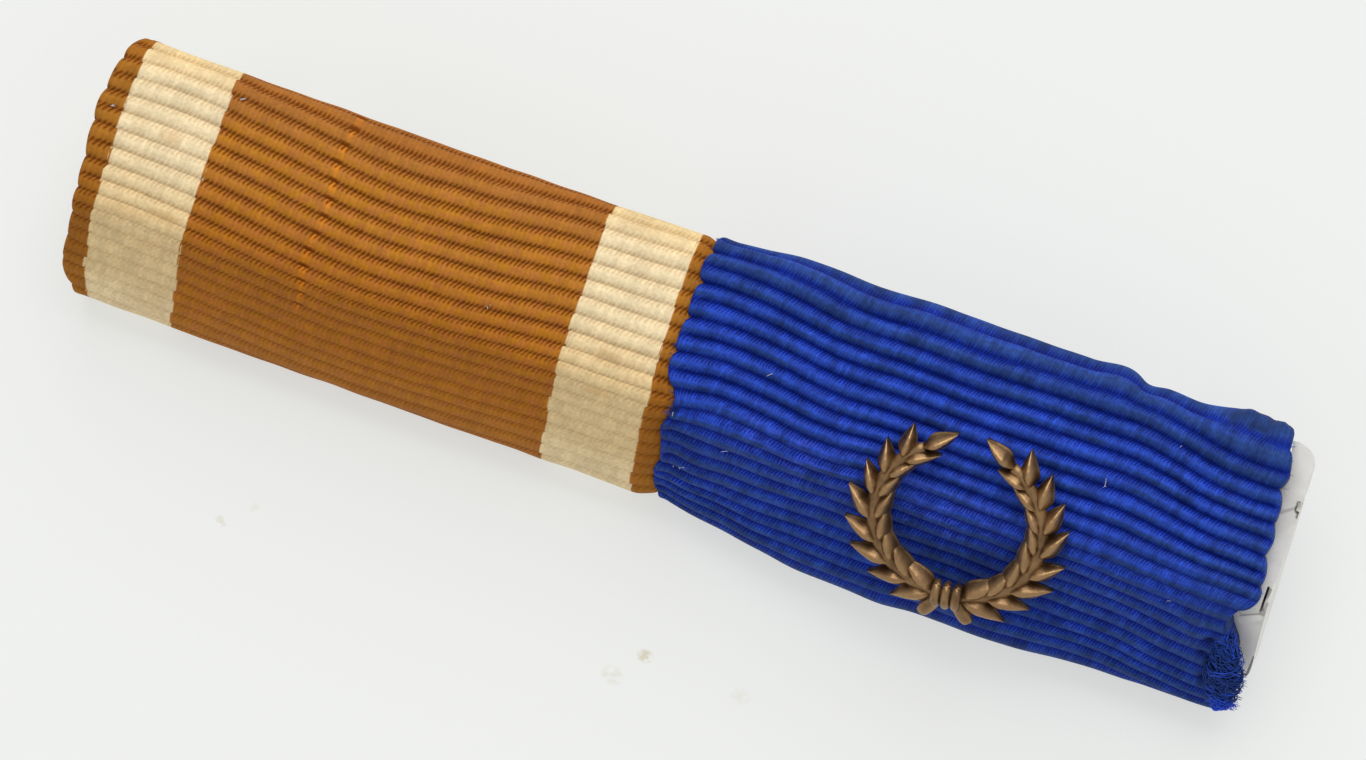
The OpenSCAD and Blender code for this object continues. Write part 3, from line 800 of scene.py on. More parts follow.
# Outer face of a ribbon. across is the distance from its left woven edge at full width and rib
# the rib number. Each rib is a raised half sine. At the woven edges two ribs at a time join in a
# loop, with notches at the odd rib numbers on the left edge and at the even ones on the right.
def ribbonSurface(look, across, rib):
    numbers, places = ribPlaces(look)
    s0 = np.interp(rib, numbers, places)
    x0 = look["x0"] + across
    s = s0 + ribWave(look, x0, s0)
    fromLeft, fromRight = across, look["width"] - across
    toEdge = np.minimum(fromLeft, fromRight)
    onLeft = fromLeft < fromRight
    leftPull = np.clip(1 - fromLeft / weave["edgePull"], 0, 1) ** 2
    rightPull = np.clip(1 - fromRight / weave["edgePull"], 0, 1) ** 2
    x = x0 + (through(s, look["left"]) - look["x0"]) * leftPull
    x = x + (through(s, look["right"]) - look["x0"] - look["width"]) * rightPull
    flattened, dimmed, lift = rumples(look, x, s)
    inLoop = eased(1 - toEdge / weave["loopReach"])
    notch = np.where(onLeft, 1, 0)
    joinedRibs = (np.round(rib) - notch) % 2 == 1
    depth = valleyDepth(look, x, s, toEdge, inLoop, joinedRibs) * (1 - weave["flatShare"] * flattened)
    rise = np.abs(np.sin(np.pi * rib)) ** look["crestPower"]
    rounding = np.clip(1 - toEdge / weave["edgeR"], 0, 1)
    drop = weave["edgeR"] * (1 - np.sqrt(1 - rounding**2))
    fromSeam = fromRight if look["tuck"] < 0 else fromLeft
    tuck = look["tuck"] * eased(1 - fromSeam / weave["tuckReach"])
    off = crest - depth * (1 - rise) + slackHeight(look, x0, s) - drop + lift + tuck
    off = off + weave["unevenHeight"] * ripple(x, s, look["seed"] + 1, 3.0)
    loop = np.abs(np.sin(np.pi * (rib - notch) / 2)) ** 0.6
    wild = 1 + 0.4 * ripple(s, 0 * s, look["seed"] + 2, 2.5)
    fullBead = np.where(onLeft, *look["bead"])
    bead = look["lowBead"] + (fullBead - look["lowBead"]) * eased((s + 2.5) / 2)
    bead = bead * (1 - loop) * inLoop * wild
    x = x + np.where(onLeft, bead, -bead)
    return x, s, off, x0, flattened, dimmed


# A ribbon as a closed wall: the outer face on a grid, an inner side that only needs two edges,
# under the outer ones, the two woven edges and the two cut ends.
def makeRibbon(name, look, material, node):
    numbers, _ = ribPlaces(look)
    whole = np.arange(numbers[0], numbers[-1])
    rib = np.append((whole[:, None] + weave["ribParts"]).ravel(), numbers[-1])
    turn = np.linspace(0, np.pi / 2, weave["edgeSteps"] + 1)[:-1]
    edge = weave["edgeR"] * (1 - np.cos(turn))
    middle = np.arange(weave["edgeR"], look["width"] - weave["edgeR"], weave["columnStep"])
    across = np.concatenate([edge, middle, look["width"] - edge[::-1]])
    acrossGrid, ribGrid = np.meshgrid(across, rib)
    x, s, off, x0, flattened, dimmed = ribbonSurface(look, acrossGrid, ribGrid)
    rows, cols = x.shape
    outer = facePoint(x, s, off)
    ends = [0, cols - 1]
    inner = facePoint(x[:, ends], s[:, ends], np.full((rows, 2), lining))
    points = np.concatenate([outer.reshape(-1, 3), inner.reshape(-1, 3)])
    base = rows * cols
    k = np.arange(rows - 1)
    innerFace = np.stack([base + 2 * k, base + 2 * k + 2, base + 2 * k + 3, base + 2 * k + 1], -1)
    leftFace = np.stack([base + 2 * k, k * cols, (k + 1) * cols, base + 2 * k + 2], -1)
    last = k * cols + cols - 1
    rightFace = np.stack([last + cols, last, base + 2 * k + 1, base + 2 * k + 3], -1)
    lowCap = [base, base + 1, *range(cols - 1, -1, -1)]
    topCap = [base + 2 * rows - 1, base + 2 * rows - 2, *range(base - cols, base)]
    faces = [*gridFaces(rows, cols), *innerFace, *leftFace, *rightFace, lowCap, topCap]
    values = {}
    for key, grid in (("weave", [x0, ribGrid, s]), ("rumple", [flattened, dimmed, 0 * s])):
        value = np.stack(grid, -1)
        values[key] = np.concatenate([value.reshape(-1, 3), value[:, ends].reshape(-1, 3)])
    piece = makePiece(name, onTable(points), faces, material, values)
    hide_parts(node)
    print(name, "made:", len(piece.data.polygons), "faces")
    return piece


brownPiece = makeRibbon("brownRibbonCloth", brownRibbon, brownCloth, "brown_ribbon")
bluePiece = makeRibbon("blueRibbonCloth", blueRibbon, blueCloth, "blue_ribbon")

# Loose threads

# Skein of pulled threads along the lower end of the blue ribbon's right edge, and the knob in
# which it ends. path: [s, x, height over the crests, spread]. knob: x, s and height
skein = {
    "threads": 400,
    "radius": 0.03,
    "seed": 5,
    "steps": 20,  # points on a thread
    "sides": 7,
    "length": (0.5, 2.0),
    "stray": 0.24,  # size of the waves by which a thread strays
    "path": [
        [-8.6, 29.0, -0.35, 0.4], [-7.8, 29.15, 0.0, 0.5], [-7.0, 29.25, 0.12, 0.66],
        [-6.2, 29.25, 0.12, 0.75], [-5.2, 29.2, 0.08, 0.85], [-4.2, 29.15, 0.08, 0.85],
        [-3.2, 29.1, 0.0, 0.65], [-2.5, 29.0, -0.2, 0.35],
    ],
    "knob": (29.25, -7.0, 0.1),
    "knobSize": (0.5, 0.6, 0.45),
    "knobThreads": 160,
    "bright": (0.03, 0.1, 0.8),
    "dull": (0.012, 0.042, 0.2),
    "brightBelow": (-6.3, -5.8),  # span of y under which the threads are brighter
}
loose = {
    "steps": 6,
    "frayRadius": 0.012,
    "lintRadius": 0.018,
    "taper": 0.3,  # share of its radius that a thread keeps at its ends
    "sides": 4,
    "curl": 0.4,
    "lengths": (0.5, 1.2),  # shortest and longest, as shares of a row's length
    # stray is the spread of the directions, low the least height over the crests
    "frays": {"seed": 12, "stray": 0.45, "low": -1.0},
    "lint": {"seed": 31, "stray": 0.15, "low": -0.05},
    "pale": (0.5, 0.53, 0.6),
    "white": (0.75, 0.76, 0.8),
}
# Loose fibres: [x, s, height over the crests, length, direction along x, along s and outwards,
# scatter along x and s, count, ribbon edge from which x is measured, if any]
blueFrays = [
    [0.15, 9.2, -0.1, 0.4, -0.5, 0.8, 0.3, 0.2, 0.4, 16, "left"],
    [26.2, 9.5, -0.1, 0.75, 0.1, 1.0, 0.3, 0.12, 0.2, 5, None],
    [-0.3, 8.9, -0.1, 0.25, 0.8, 0.5, 0.2, 0.15, 0.5, 40, "right"],
    [16.5, -9.2, -0.1, 0.6, 0.2, -1.0, 0.1, 0.3, 0.3, 10, None],
    [20.5, -9.2, -0.1, 0.4, 0.2, -1.0, 0.1, 0.35, 0.3, 8, None],
    [0.4, -5.0, 0.2, 0.17, 1.0, 0.15, 0.2, 0.1, 2.0, 120, "right"],
    [0.3, -7.9, 0.2, 0.18, 1.0, -0.2, 0.2, 0.2, 1.2, 60, "right"],
    [-0.6, -3.6, 0.1, 0.35, 0.5, 0.8, 0.4, 0.5, 1.0, 26, "right"],
    [14.3, 9.8, -0.1, 0.13, 0.1, 1.0, 0.3, 13.6, 0.5, 330, None],
    [14.5, -9.4, -0.1, 0.13, 0.1, -1.0, 0.3, 14.0, 0.4, 200, None],
    [-0.2, 3.5, -0.2, 0.16, 1.0, 0.2, 0.2, 0.06, 4.5, 24, "right"],
    [0.08, 3.5, -0.2, 0.2, -1.0, 0.2, 0.2, 0.06, 5.0, 50, "left"],
    [0.1, 0.1, -0.1, 0.35, -0.8, 0.3, 0.4, 0.1, 0.3, 8, "left"],
]
lint = [
    [4.2, 3.1, 0, 0.35, 0.8, 0.7, 0, 0.02, 0.02, 1, None],
    [3.2, -1.6, 0, 0.3, 0.7, 0.7, 0, 0.02, 0.02, 1, None],
    [1.2, -4, 0, 0.35, 0.6, 0.6, 0, 0.25, 0.15, 3, None],
    [25.6, -1, 0, 0.3, 0.8, 0.6, 0, 0.02, 0.02, 1, None],
    [23.6, -5, 0, 0.3, 0.4, 0.6, 0, 0.15, 0.2, 2, None],
    [22.0, -6.6, 0, 0.2, 0.9, 0.3, 0, 0.04, 0.04, 4, None],
    [21, 3.6, 0, 0.3, 0.5, 0.8, 0, 0.15, 0.2, 2, None],
    [0.15, -0.05, 0.05, 0.25, -0.8, -0.4, 0.2, 0.03, 0.03, 1, "left"],
    [-24, 7.1, 0, 0.3, 0.9, 0.5, 0, 0.1, 0.08, 2, None],
    [-9.5, 1.8, 0, 0.2, 0.9, 0.3, 0, 0.08, 0.08, 2, None],
    [-29.8, 4.8, 0, 0.2, 0.9, 0.3, 0, 0.05, 0.05, 3, None],
    [24, 6.5, 0, 0.25, 0.3, 0.9, 0.2, 0.8, 0.5, 3, None],
]


# Paths of loose fibres: each starts at a random place near its row's point, runs on with t and
# bends a little with the square of t, and stays over the height low.
def fibrePaths(rows, seed, stray, low):
    rng = np.random.default_rng(seed)
    t = np.linspace(0, 1, loose["steps"])[:, None]
    paths = []
    for x, s, up, length, alongX, alongS, outwards, scatterX, scatterS, count, edge in rows:
        for _ in range(count):
            start = np.array([x, s, crest + up]) + rng.uniform(-1, 1, 3) * (scatterX, scatterS, 0.04)
            if edge:
                start[0] += through(start[1], blueRibbon[edge])
            course = np.array([alongX, alongS, outwards]) + rng.normal(0, stray, 3) * (1, 1, 0.6)
            curl = rng.normal(0, loose["curl"], 3) * (1, 1, 0.3)
            p = start + length * rng.uniform(*loose["lengths"]) * (t * course + t * t * curl)
            paths.append(facePoint(p[:, 0], p[:, 1], np.maximum(p[:, 2], crest + low)))
    return np.array(paths)


# A plain shade for loose threads, from dull to bright with the cube of a thread's own number,
# and brighter at the lower end of the skein.
def threadMaterial(name, dull, bright):
    material, tree, shader = newMaterial(name)
    _, own, y, _ = attributeParts(tree, "strand")
    lower = spread(tree, y, *skein["brightBelow"], 0.5, -0.15)
    share = calc(tree, "ADD", calc(tree, "POWER", own, 3.0), lower, clamp=True)
    tree.links.new(mixed(tree, share, dull, bright), shader.inputs["Base Color"])
    shader.inputs["Roughness"].default_value = 0.6
    shader.inputs["Specular IOR Level"].default_value = 0.15
    return material


# Thin tubes along the paths, with each thread's own number and its place up the face.
def makeThreads(name, paths, radius, sides, material):
    points, faces = tubes(paths, radius, sides, loose["taper"])
    own = np.random.default_rng(len(paths)).random(len(paths))
    count, steps, _ = paths.shape
    upFace = np.repeat(paths[..., 1].ravel(), sides)
    strand = np.stack([np.repeat(own, steps * sides), upFace, 0 * upFace], -1)
    piece = makePiece(name, onTable(points), faces, material, {"strand": strand})
    print(name, "made:", count, "threads")
    return piece


# Threads of the skein: each follows a part of its middle line, turns round it and strays from it
# in waves. Those of the knob are rings of random tilt round its middle.
def skeinPaths():
    rng = np.random.default_rng(skein["seed"])
    t = np.linspace(0, 1, skein["steps"])
    rows = skein["path"]
    paths = []
    for _ in range(skein["threads"]):
        length = rng.uniform(*skein["length"])
        first = rng.uniform(rows[0][0], rows[-1][0] - 0.5 * length)
        s = first + length * t
        angle = 2 * np.pi * (rng.random() + t * rng.uniform(-1.2, 1.2))
        reach = through(s, rows, 3) * np.sqrt(rng.uniform(0.1, 1))
        waves = [rng.uniform(0.3, 1) * np.sin(k * t + 6.3 * rng.random()) for k in (7, 9, 11)]
        x = through(s, rows, 1) + reach * np.cos(angle) + skein["stray"] * waves[0]
        off = crest + through(s, rows, 2) + 0.6 * reach * np.sin(angle) + 0.4 * skein["stray"] * waves[1]
        paths.append(facePoint(x, s + skein["stray"] * waves[2], off))
    x, s, up = skein["knob"]
    centre, size = facePoint(x, s, crest + up), np.array(skein["knobSize"])
    for _ in range(skein["knobThreads"]):
        a, b = 2 * np.pi * (rng.random() + t * rng.uniform(0.25, 0.6)), rng.uniform(-1, 1)
        axis = Matrix.Rotation(rng.normal(0, 0.7), 3, "X") @ Matrix.Rotation(rng.normal(0, 0.5), 3, "Z")
        ring = np.stack([np.cos(a) * np.sqrt(1 - b * b), np.sin(a) * np.sqrt(1 - b * b), 0 * a + b], -1)
        paths.append(centre + (ring @ np.array(axis).T) * size * rng.uniform(0.6, 1.05, (1, 3)))
    return np.array(paths)


blueThread = threadMaterial("blueThread", skein["dull"], skein["bright"])
paleThread = threadMaterial("paleThread", loose["pale"], loose["white"])
skeinPiece = makeThreads("blueSkein", skeinPaths(), skein["radius"], skein["sides"], blueThread)
frayPaths = fibrePaths(blueFrays, **loose["frays"])
fraysPiece = makeThreads("blueFrays", frayPaths, loose["frayRadius"], loose["sides"], blueThread)
lintPaths = fibrePaths(lint, **loose["lint"])
lintPiece = makeThreads("lint", lintPaths, loose["lintRadius"], loose["sides"], paleThread)

# Device: a laurel wreath

wreath = {
    "x": 15.1,
    "y": -0.3,
    "turn": np.radians(7.0),
    "bend": 0.02,  # fall per square of the distance from the ridge
    "ringR": 4.1,
    "leafLength": 2.3,
    "leafWidth": 1.15,
    "leafHeight": 1.05,
    "leafCurl": 0.12,
    "leafPoints": (22, 20),  # along a leaf and round it
    "rim": 0.3,  # height of a leaf's rim, as a share of leafHeight
    "ridgePower": 1.25,  # more makes the leaf's middle rib rounder
    "veinDepth": 0.035,
    "veins": 6.5,  # grooves along a leaf
    "veinSlant": 1.6,  # grooves passed from the middle rib to the rim
    "profile": [[0, 0.3, 0.6], [0.3, 1.0, 1.0], [0.65, 0.78, 0.85], [1, 0.04, 0.4]],
    "seed": 21,
    "pairs": 8,
    "from": 9.0,  # angles along a branch, in degrees from the tie
    "to": 148.0,
    "spread": 30.0,  # degrees between a leaf and the branch
    "taper": 0.25,  # share by which the last leaf is smaller
    "stemR": 0.36,
    "stemHeight": 0.42,
    "stemFrom": -7.0,  # angle at which a stem starts, before it runs on as far as the leaves
    "cutR": 0.38,
    "cutFrom": (0.3, 0.0),  # cut end of a stem, outwards and down from the tie
    "cutTo": (1.15, 1.35),
    "wrapR": 0.24,
    "wraps": (-0.5, 0.0, 0.5),  # x of the tie's wraps
    "wrapReach": 0.62,
    "wrapHeight": 0.3,
    "tubeSides": 12,
    "tubePoints": 40,
    "tubeTaper": 0.7,
    "tubeWear": 0.6,
}


# Points of the wreath's own frame in the bar's frame: bent over the ridge, turned and placed.
def onDevice(p):
    z = p[..., 2] - wreath["bend"] * p[..., 1] ** 2 + ridgeZ + crest + bar["gap"]
    c, s = np.cos(wreath["turn"]), np.sin(wreath["turn"])
    x = c * p[..., 0] - s * p[..., 1] + wreath["x"]
    y = s * p[..., 0] + c * p[..., 1] + wreath["y"]
    return np.stack([x, y, z], -1)


# A leaf along t, round a section at angle a: a flat back and a roof with a raised middle rib
# on top, as wide as the profile's curve, with small oblique grooves for the veins.
def leafSurface(start, angle, size, curl):
    rows, cols = wreath["leafPoints"]
    angles = np.linspace(0, 2 * np.pi, cols, endpoint=False)
    t, a = np.meshgrid(np.linspace(0, 1, rows), angles, indexing="ij")
    wide = through(t, wreath["profile"], 1) * wreath["leafWidth"] * size / 2
    high = through(t, wreath["profile"], 2) * wreath["leafHeight"]
    side = np.cos(a)
    toRim = np.abs(side)
    rim = wreath["leafHeight"] * wreath["rim"]
    veins = wreath["veinDepth"] * np.cos(2 * np.pi * (wreath["veins"] * t - wreath["veinSlant"] * toRim))
    veins = veins * np.sin(np.pi * t) * (1 - toRim) * (toRim > 0.1)
    top = rim + (high - rim) * (1 - toRim ** wreath["ridgePower"]) + veins
    z = np.where(np.sin(a) >= 0, top, rim * (1 - np.abs(np.sin(a))))
    length = wreath["leafLength"] * size
    along = length * t
    beside = wide * side + curl * length * (t - 0.5) ** 2
    c, s = np.cos(angle), np.sin(angle)
    points = np.stack([start[0] + c * along - s * beside, start[1] + s * along + c * beside, z], -1)
    raised = (1 - toRim) * (np.sin(a) >= 0) + 0.5 * (toRim > 0.9)
    return points, raised


# Leaves in pairs along both branches, each pair at an angle round the ring, and one at each end.
def wreathLeaves():
    rng = np.random.default_rng(wreath["seed"])
    grids, worn = [], []
    for mirror in (1, -1):
        for k in range(wreath["pairs"] + 1):
            share = k / wreath["pairs"]
            a = np.radians(-90 + wreath["from"] + (wreath["to"] - wreath["from"]) * share)
            start = wreath["ringR"] * np.array([np.cos(a), np.sin(a)])
            size = 1 - wreath["taper"] * share
            for side in (-1, 1) if k < wreath["pairs"] else (0,):
                angle = a + np.pi / 2 + np.radians(side * wreath["spread"] + rng.normal(0, 2))
                curl = wreath["leafCurl"] * side
                points, raised = leafSurface(start, angle, size * rng.normal(1, 0.03), curl)
                points[..., 0] *= mirror
                grids.append(points if mirror > 0 else points[:, ::-1])
                worn.append(raised if mirror > 0 else raised[:, ::-1])
    return grids, worn


# Paths and radii of the tubes: an arc for each stem, a straight cut end below the tie for each,
# and half rings for the tie's wraps.
def wreathTubes():
    t = np.linspace(0, 1, wreath["tubePoints"])
    ringR, height = wreath["ringR"], 0 * t + wreath["stemHeight"]
    first = wreath["stemFrom"]
    (x0, y0), (x1, y1) = wreath["cutFrom"], wreath["cutTo"]
    paths = []
    for mirror in (1, -1):
        a = np.radians(-90 + first + (wreath["to"] - first) * t)
        paths.append((np.stack([mirror * ringR * np.cos(a), ringR * np.sin(a), height], -1), wreath["stemR"]))
        cut = np.stack([mirror * (x0 + (x1 - x0) * t), -ringR - y0 - (y1 - y0) * t, height], -1)
        paths.append((cut, wreath["cutR"]))
    a = np.pi * (t - 0.5)
    reach = wreath["wrapReach"]
    for x in wreath["wraps"]:
        wrap = np.stack([0 * t + x, -ringR + reach * np.sin(a), wreath["wrapHeight"] + reach * np.cos(a)], -1)
        paths.append((wrap, wreath["wrapR"]))
    return paths


# The wreath in one mesh: closed leaves with flat ends, then the tubes.
def makeWreath(material):
    grids, worn = wreathLeaves()
    rows, cols = grids[0].shape[:2]
    points = np.concatenate([g.reshape(-1, 3) for g in grids])
    wear = np.concatenate([w.ravel() for w in worn])
    quads = gridFaces(rows, cols, closed=True)
    faces = [*np.concatenate([quads + k * rows * cols for k in range(len(grids))])]
    for k in range(len(grids)):
        first = k * rows * cols
        last = first + (rows - 1) * cols
        faces += [list(range(first + cols - 1, first - 1, -1)), list(range(last, last + cols))]
    for path, radius in wreathTubes():
        tubePoints, tubeFaces = tubes(path[None], radius, wreath["tubeSides"], wreath["tubeTaper"])
        faces += [[int(i) + len(points) for i in f] for f in tubeFaces]
        points = np.concatenate([points, tubePoints])
        wear = np.concatenate([wear, np.full(len(tubePoints), wreath["tubeWear"])])
    values = {"wear": np.repeat(wear[:, None], 3, axis=1)}
    piece = makePiece("laurelWreath", onTable(onDevice(points)), faces, material, values)
    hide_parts("device")
    print("wreath made:", len(piece.data.polygons), "faces")


bronzeLook = {
    "hollow": (0.11, 0.062, 0.03),
    "bright": (0.42, 0.255, 0.12),
    "stain": (900.0, 4.0, 0.6),  # noises: scale per metre, detail and roughness
    "grain": (9000.0, 2.0, 0.5),
    "roughness": (0.3, 0.5),
    "metallic": 0.85,
    "bumpDistance": 0.03,  # mm
}


# Dark cast bronze, browner in its hollows and bright where it is worn, with a fine grain.
def bronzeMaterial():
    material, tree, shader = newMaterial("bronze")
    source = tree.nodes.new("ShaderNodeAttribute")
    source.attribute_name = "wear"
    place = objectPlace(tree)
    stain = noise(tree, place, *bronzeLook["stain"])
    grain = noise(tree, place, *bronzeLook["grain"])
    bright = calc(tree, "MULTIPLY_ADD", source.outputs["Fac"], 0.8, calc(tree, "SUBTRACT", stain, 0.55))
    colour = mixed(tree, spread(tree, bright, 0.05, 0.75), bronzeLook["hollow"], bronzeLook["bright"])
    tree.links.new(colour, shader.inputs["Base Color"])
    tree.links.new(spread(tree, stain, 0.3, 0.7, *bronzeLook["roughness"]), shader.inputs["Roughness"])
    shader.inputs["Metallic"].default_value = bronzeLook["metallic"]
    height = calc(tree, "MULTIPLY_ADD", grain, 0.4, stain)
    bumped(tree, shader, height, bronzeLook["bumpDistance"] / 1000, 0.6)
    return material


makeWreath(bronzeMaterial())

# Plate and pin, which keep their CAD nodes

# grime with painted shade, and painted highlights, on the plate's end, along short lines: [x, y, x, y,
# radius, strength]
plateLook = {
    "sheet": (0.81, 0.797, 0.75),
    "stained": (0.7, 0.687, 0.64),
    "highlightColour": (1.0, 0.98, 0.9),
    "grimeAndShadeColour": (0.07, 0.055, 0.03),
    "stain": (700.0, 4.0, 0.6),  # noises: scale per metre, detail and roughness
    "scratch": (700.0, 3.0, 0.7),
    "scratchSqueeze": 14.0,
    "roughness": (0.35, 0.5),
    "metallic": 0.2,
    "bumpDistance": 0.01,  # mm
    # grime and painted shade in the nick, along the slits and along the end
    "grimeAndShade": [
        [29.98, 4.76, 30.0, 4.44, 0.17, 0.9], [30.12, 4.4, 30.13, 4.2, 0.14, 0.8],
        [29.25, 4.12, 30.0, 4.6, 0.12, 0.35], [30.06, 0.85, 29.99, -0.2, 0.12, 0.6],
        [29.97, -0.5, 29.1, -1.05, 0.09, 0.5], [30.25, -3.6, 30.1, -5.7, 0.09, 0.7],
        [30.1, -5.6, 30.08, -5.75, 0.18, 1.0], [30.13, 0.2, 30.1, -0.5, 0.14, 0.4],
    ],
    # painted highlights beside the slits
    "shine": [
        [30.25, 1.1, 30.27, 0.5, 0.2, 0.9], [29.9, -0.8, 29.2, -1.4, 0.32, 1.0],
        [29.7, -1.7, 29.9, -4.6, 0.8, 0.9],
    ],
}


# Height of the plate's upper face over y.
def roofHeight(y):
    q = np.linspace(0, faceEnd, 400)
    roofY, roofZ = wrapPoint(q, bar["plateThick"] / 2)
    return np.interp(np.abs(y), roofY, roofZ)


# A Vector Math node fed with vectors or other nodes' outputs.
def vectorStep(tree, operation, *values):
    node = tree.nodes.new("ShaderNodeVectorMath")
    node.operation = operation
    for socket, value in zip(node.inputs, values):
        plug(tree, socket, value)
    return node.outputs["Value"] if operation in ("DOT_PRODUCT", "LENGTH") else node.outputs[0]


# Sum of soft strokes on the plate, from rows of a table: how near each point is to a short line.
def plateStrokes(tree, place, rows):
    total = 0.0
    for x0, y0, x1, y1, radius, strength in rows:
        a, b = (onTable(np.array([x, y, float(roofHeight(y))])) for x, y in ((x0, y0), (x1, y1)))
        toPoint = vectorStep(tree, "SUBTRACT", place, tuple(a))
        share = vectorStep(tree, "DOT_PRODUCT", toPoint, tuple((b - a) / ((b - a) @ (b - a))))
        share = calc(tree, "MULTIPLY", share, 1.0, clamp=True)
        nearest = vectorStep(tree, "MULTIPLY", tuple(b - a), joined(tree, share, share, share))
        far = vectorStep(tree, "LENGTH", vectorStep(tree, "SUBTRACT", toPoint, nearest))
        near = spread(tree, far, radius * 0.0003, radius / 1000, strength, 0.0)
        total = calc(tree, "ADD", near, total, clamp=True)
    return total


# Dull aluminium sheet with a fine grain, faint scratches, grime and painted shade in its nick, slits and end,
# and painted highlights on the bent metal beside them.
def aluminiumMaterial():
    look = plateLook
    material, tree, shader = newMaterial("aluminium")
    place = objectPlace(tree)
    stain = noise(tree, place, *look["stain"])
    scratch = noise(tree, alongBar(tree, place, look["scratchSqueeze"]), *look["scratch"])
    shine = plateStrokes(tree, place, look["shine"])
    grimeAndShade = plateStrokes(tree, place, look["grimeAndShade"])
    colour = mixed(tree, spread(tree, stain, 0.35, 0.7), look["sheet"], look["stained"])
    # painted highlights, then grime and painted shade
    colour = mixed(tree, shine, colour, look["highlightColour"])
    colour = mixed(tree, grimeAndShade, colour, look["grimeAndShadeColour"])
    tree.links.new(colour, shader.inputs["Base Color"])
    rough = spread(tree, scratch, 0.3, 0.7, *look["roughness"])
    tree.links.new(calc(tree, "MULTIPLY_ADD", grimeAndShade, 0.4, rough), shader.inputs["Roughness"])
    metal = calc(tree, "MULTIPLY_ADD", grimeAndShade, -look["metallic"], look["metallic"])
    tree.links.new(metal, shader.inputs["Metallic"])
    bumped(tree, shader, scratch, look["bumpDistance"] / 1000, 0.5)
    return material


pinLook = {
    "steel": (0.62, 0.61, 0.58),
    "stained": (0.4, 0.38, 0.34),
    "stain": (400.0, 4.0, 0.6),
    "brushed": (500.0, 3.0, 0.6),
    "brushSqueeze": 20.0,
    "roughness": (0.25, 0.42),
    "bumpDistance": 0.01,
}


# Nickelled steel, lightly brushed along the bar.
def pinMaterial():
    material, tree, shader = newMaterial("pinSteel")
    place = objectPlace(tree)
    brushed = noise(tree, alongBar(tree, place, pinLook["brushSqueeze"]), *pinLook["brushed"])
    stain = noise(tree, place, *pinLook["stain"])
    colour = mixed(tree, spread(tree, stain, 0.4, 0.75), pinLook["steel"], pinLook["stained"])
    tree.links.new(colour, shader.inputs["Base Color"])
    tree.links.new(spread(tree, brushed, 0.3, 0.7, *pinLook["roughness"]), shader.inputs["Roughness"])
    shader.inputs["Metallic"].default_value = 1.0
    bumped(tree, shader, brushed, pinLook["bumpDistance"] / 1000, 0.4)
    return material


for node, material in (("backing_bar", aluminiumMaterial()), ("fastening_pin", pinMaterial())):
    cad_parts[node].material_slots[0].material = material
print("plate and pin finished")

# Floor, light and camera

floorLook = {
    "size": 3.0,
    "colour": (0.36, 0.365, 0.36),
    "glow": (0.52, 0.527, 0.515),
    "stainColour": (0.2, 0.15, 0.04),
    "stainGlow": (0.35, 0.3, 0.14),
    "grain": (3000.0, 3.0, 0.5),  # noise by which the stains are broken up
    # small stains on the paper: [x, y, radius, strength]
    "stains": [
        [2.2, -13.7, 0.5, 0.5], [1.0, -15.1, 0.7, 0.2], [7.2, -14.0, 0.6, 0.15],
        [-19.6, -14.4, 0.3, 0.35], [-19.3, -14.6, 0.2, 0.2], [-18.2, -13.3, 0.4, 0.15],
    ],
}


# Pale paper that glows a little, as under bright light, with a few small stains.
def paperMaterial():
    look = floorLook
    material, tree, shader = newMaterial("paper")
    place = objectPlace(tree)
    parts = tree.nodes.new("ShaderNodeSeparateXYZ")
    tree.links.new(place, parts.inputs[0])
    rows = [[x / 1000, y / 1000, r / 1000, 0.8 * r / 1000, share] for x, y, r, share in look["stains"]]
    stained = spots(tree, *parts.outputs[:2], rows)
    broken = spread(tree, noise(tree, place, *look["grain"]), 0.35, 0.6)
    stained = calc(tree, "MULTIPLY", stained, broken)
    colour = mixed(tree, stained, look["colour"], look["stainColour"])
    tree.links.new(colour, shader.inputs["Base Color"])
    glow = mixed(tree, stained, look["glow"], look["stainGlow"])
    tree.links.new(glow, shader.inputs["Emission Color"])
    shader.inputs["Roughness"].default_value = 0.9
    shader.inputs["Specular IOR Level"].default_value = 0.0
    shader.inputs["Emission Strength"].default_value = 1.0
    return material


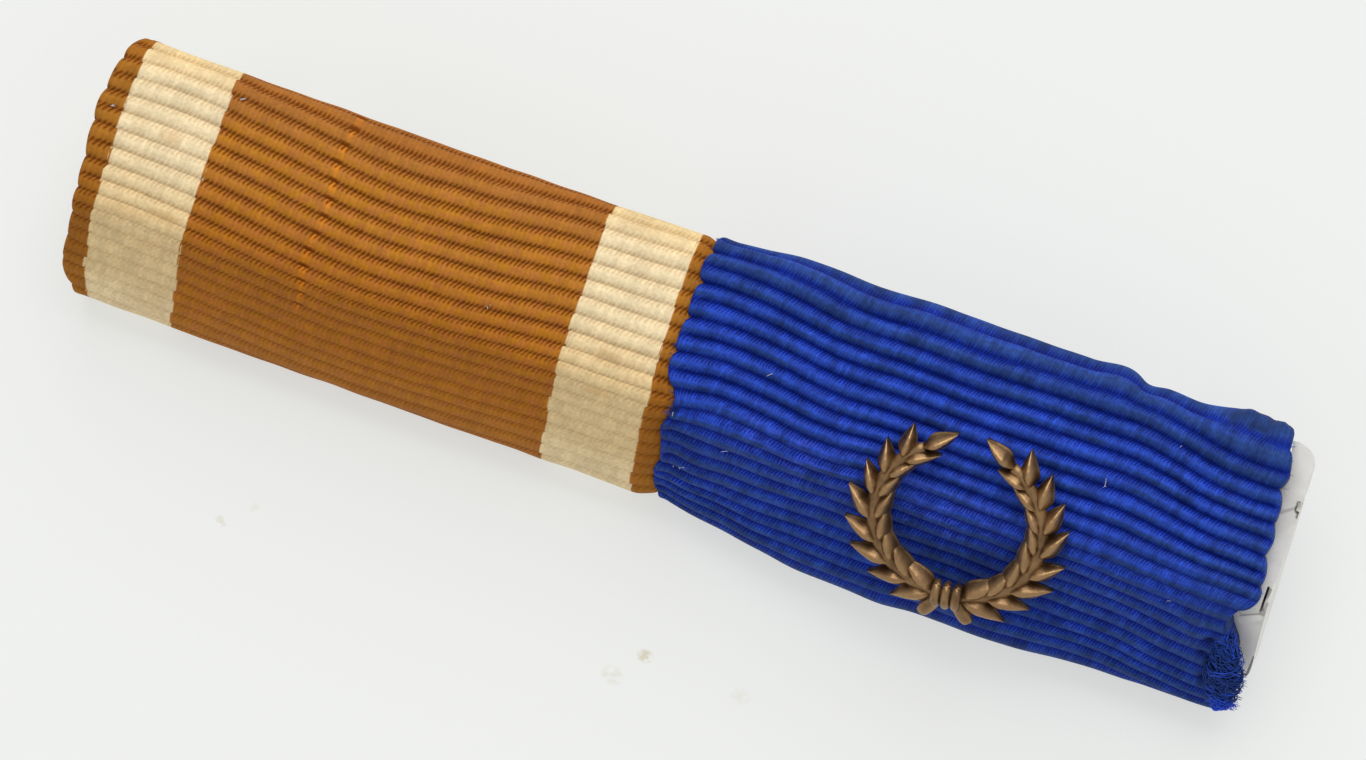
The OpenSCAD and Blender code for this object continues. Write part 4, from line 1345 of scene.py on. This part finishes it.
# A square sheet of paper under the bar.
def makeFloor():
    mesh = bpy.data.meshes.new("floor")
    side = floorLook["size"] / 2
    corners = [(-side, -side, 0), (side, -side, 0), (side, side, 0), (-side, side, 0)]
    mesh.from_pydata(corners, [], [(0, 1, 2, 3)])
    mesh.materials.append(paperMaterial())
    floor = bpy.data.objects.new("floor", mesh)
    bpy.context.scene.collection.objects.link(floor)
    return floor


floor = makeFloor()

light = {"world": 0.615, "key": 4.5, "keySize": 0.7, "keyPlace": (-0.05, 0.59, 0.59)}


# An even white world and one large square lamp that looks at the origin.
def makeLights():
    world = bpy.data.worlds.new("studio")
    bpy.context.scene.world = world
    world.use_nodes = True
    world.node_tree.nodes["Background"].inputs["Color"].default_value = (1.0, 1.0, 1.0, 1.0)
    world.node_tree.nodes["Background"].inputs["Strength"].default_value = light["world"]
    lamp = bpy.data.lights.new("key", "AREA")
    lamp.shape = "SQUARE"
    lamp.size = light["keySize"]
    lamp.energy = light["key"]
    lampObject = bpy.data.objects.new("key", lamp)
    lampObject.location = light["keyPlace"]
    lampObject.rotation_euler = (-Vector(light["keyPlace"])).to_track_quat("-Z", "Y").to_euler()
    bpy.context.scene.collection.objects.link(lampObject)


# Place of the camera and its directions, in the bar's frame.
view = {
    "place": (51.005, 240.743, 427.673),
    "right": (0.93744, 0.24335, -0.24898),
    "down": (0.33251, -0.83776, 0.43311),
    "back": (0.1032, 0.4888, 0.8663),
    "lens": 271.45,
}


# The camera: its matrix has its right, up and back directions and its place as columns.
def makeCamera():
    camera = bpy.data.cameras.new("camera")
    camera.lens = view["lens"]
    camera.sensor_width = 36.0
    camera.clip_start = 0.01
    camera.clip_end = 10.0
    cameraObject = bpy.data.objects.new("camera", camera)
    right, down, back = (turned(np.array(view[key])) for key in ("right", "down", "back"))
    matrix = Matrix.Identity(4)
    for column, values in enumerate((right, -down, back, onTable(np.array(view["place"])))):
        for row in range(3):
            matrix[row][column] = values[row]
    cameraObject.matrix_world = matrix
    bpy.context.scene.collection.objects.link(cameraObject)
    bpy.context.scene.camera = cameraObject


makeLights()
makeCamera()
bpy.context.scene.view_settings.view_transform = "Standard"
print("camera and lights set")
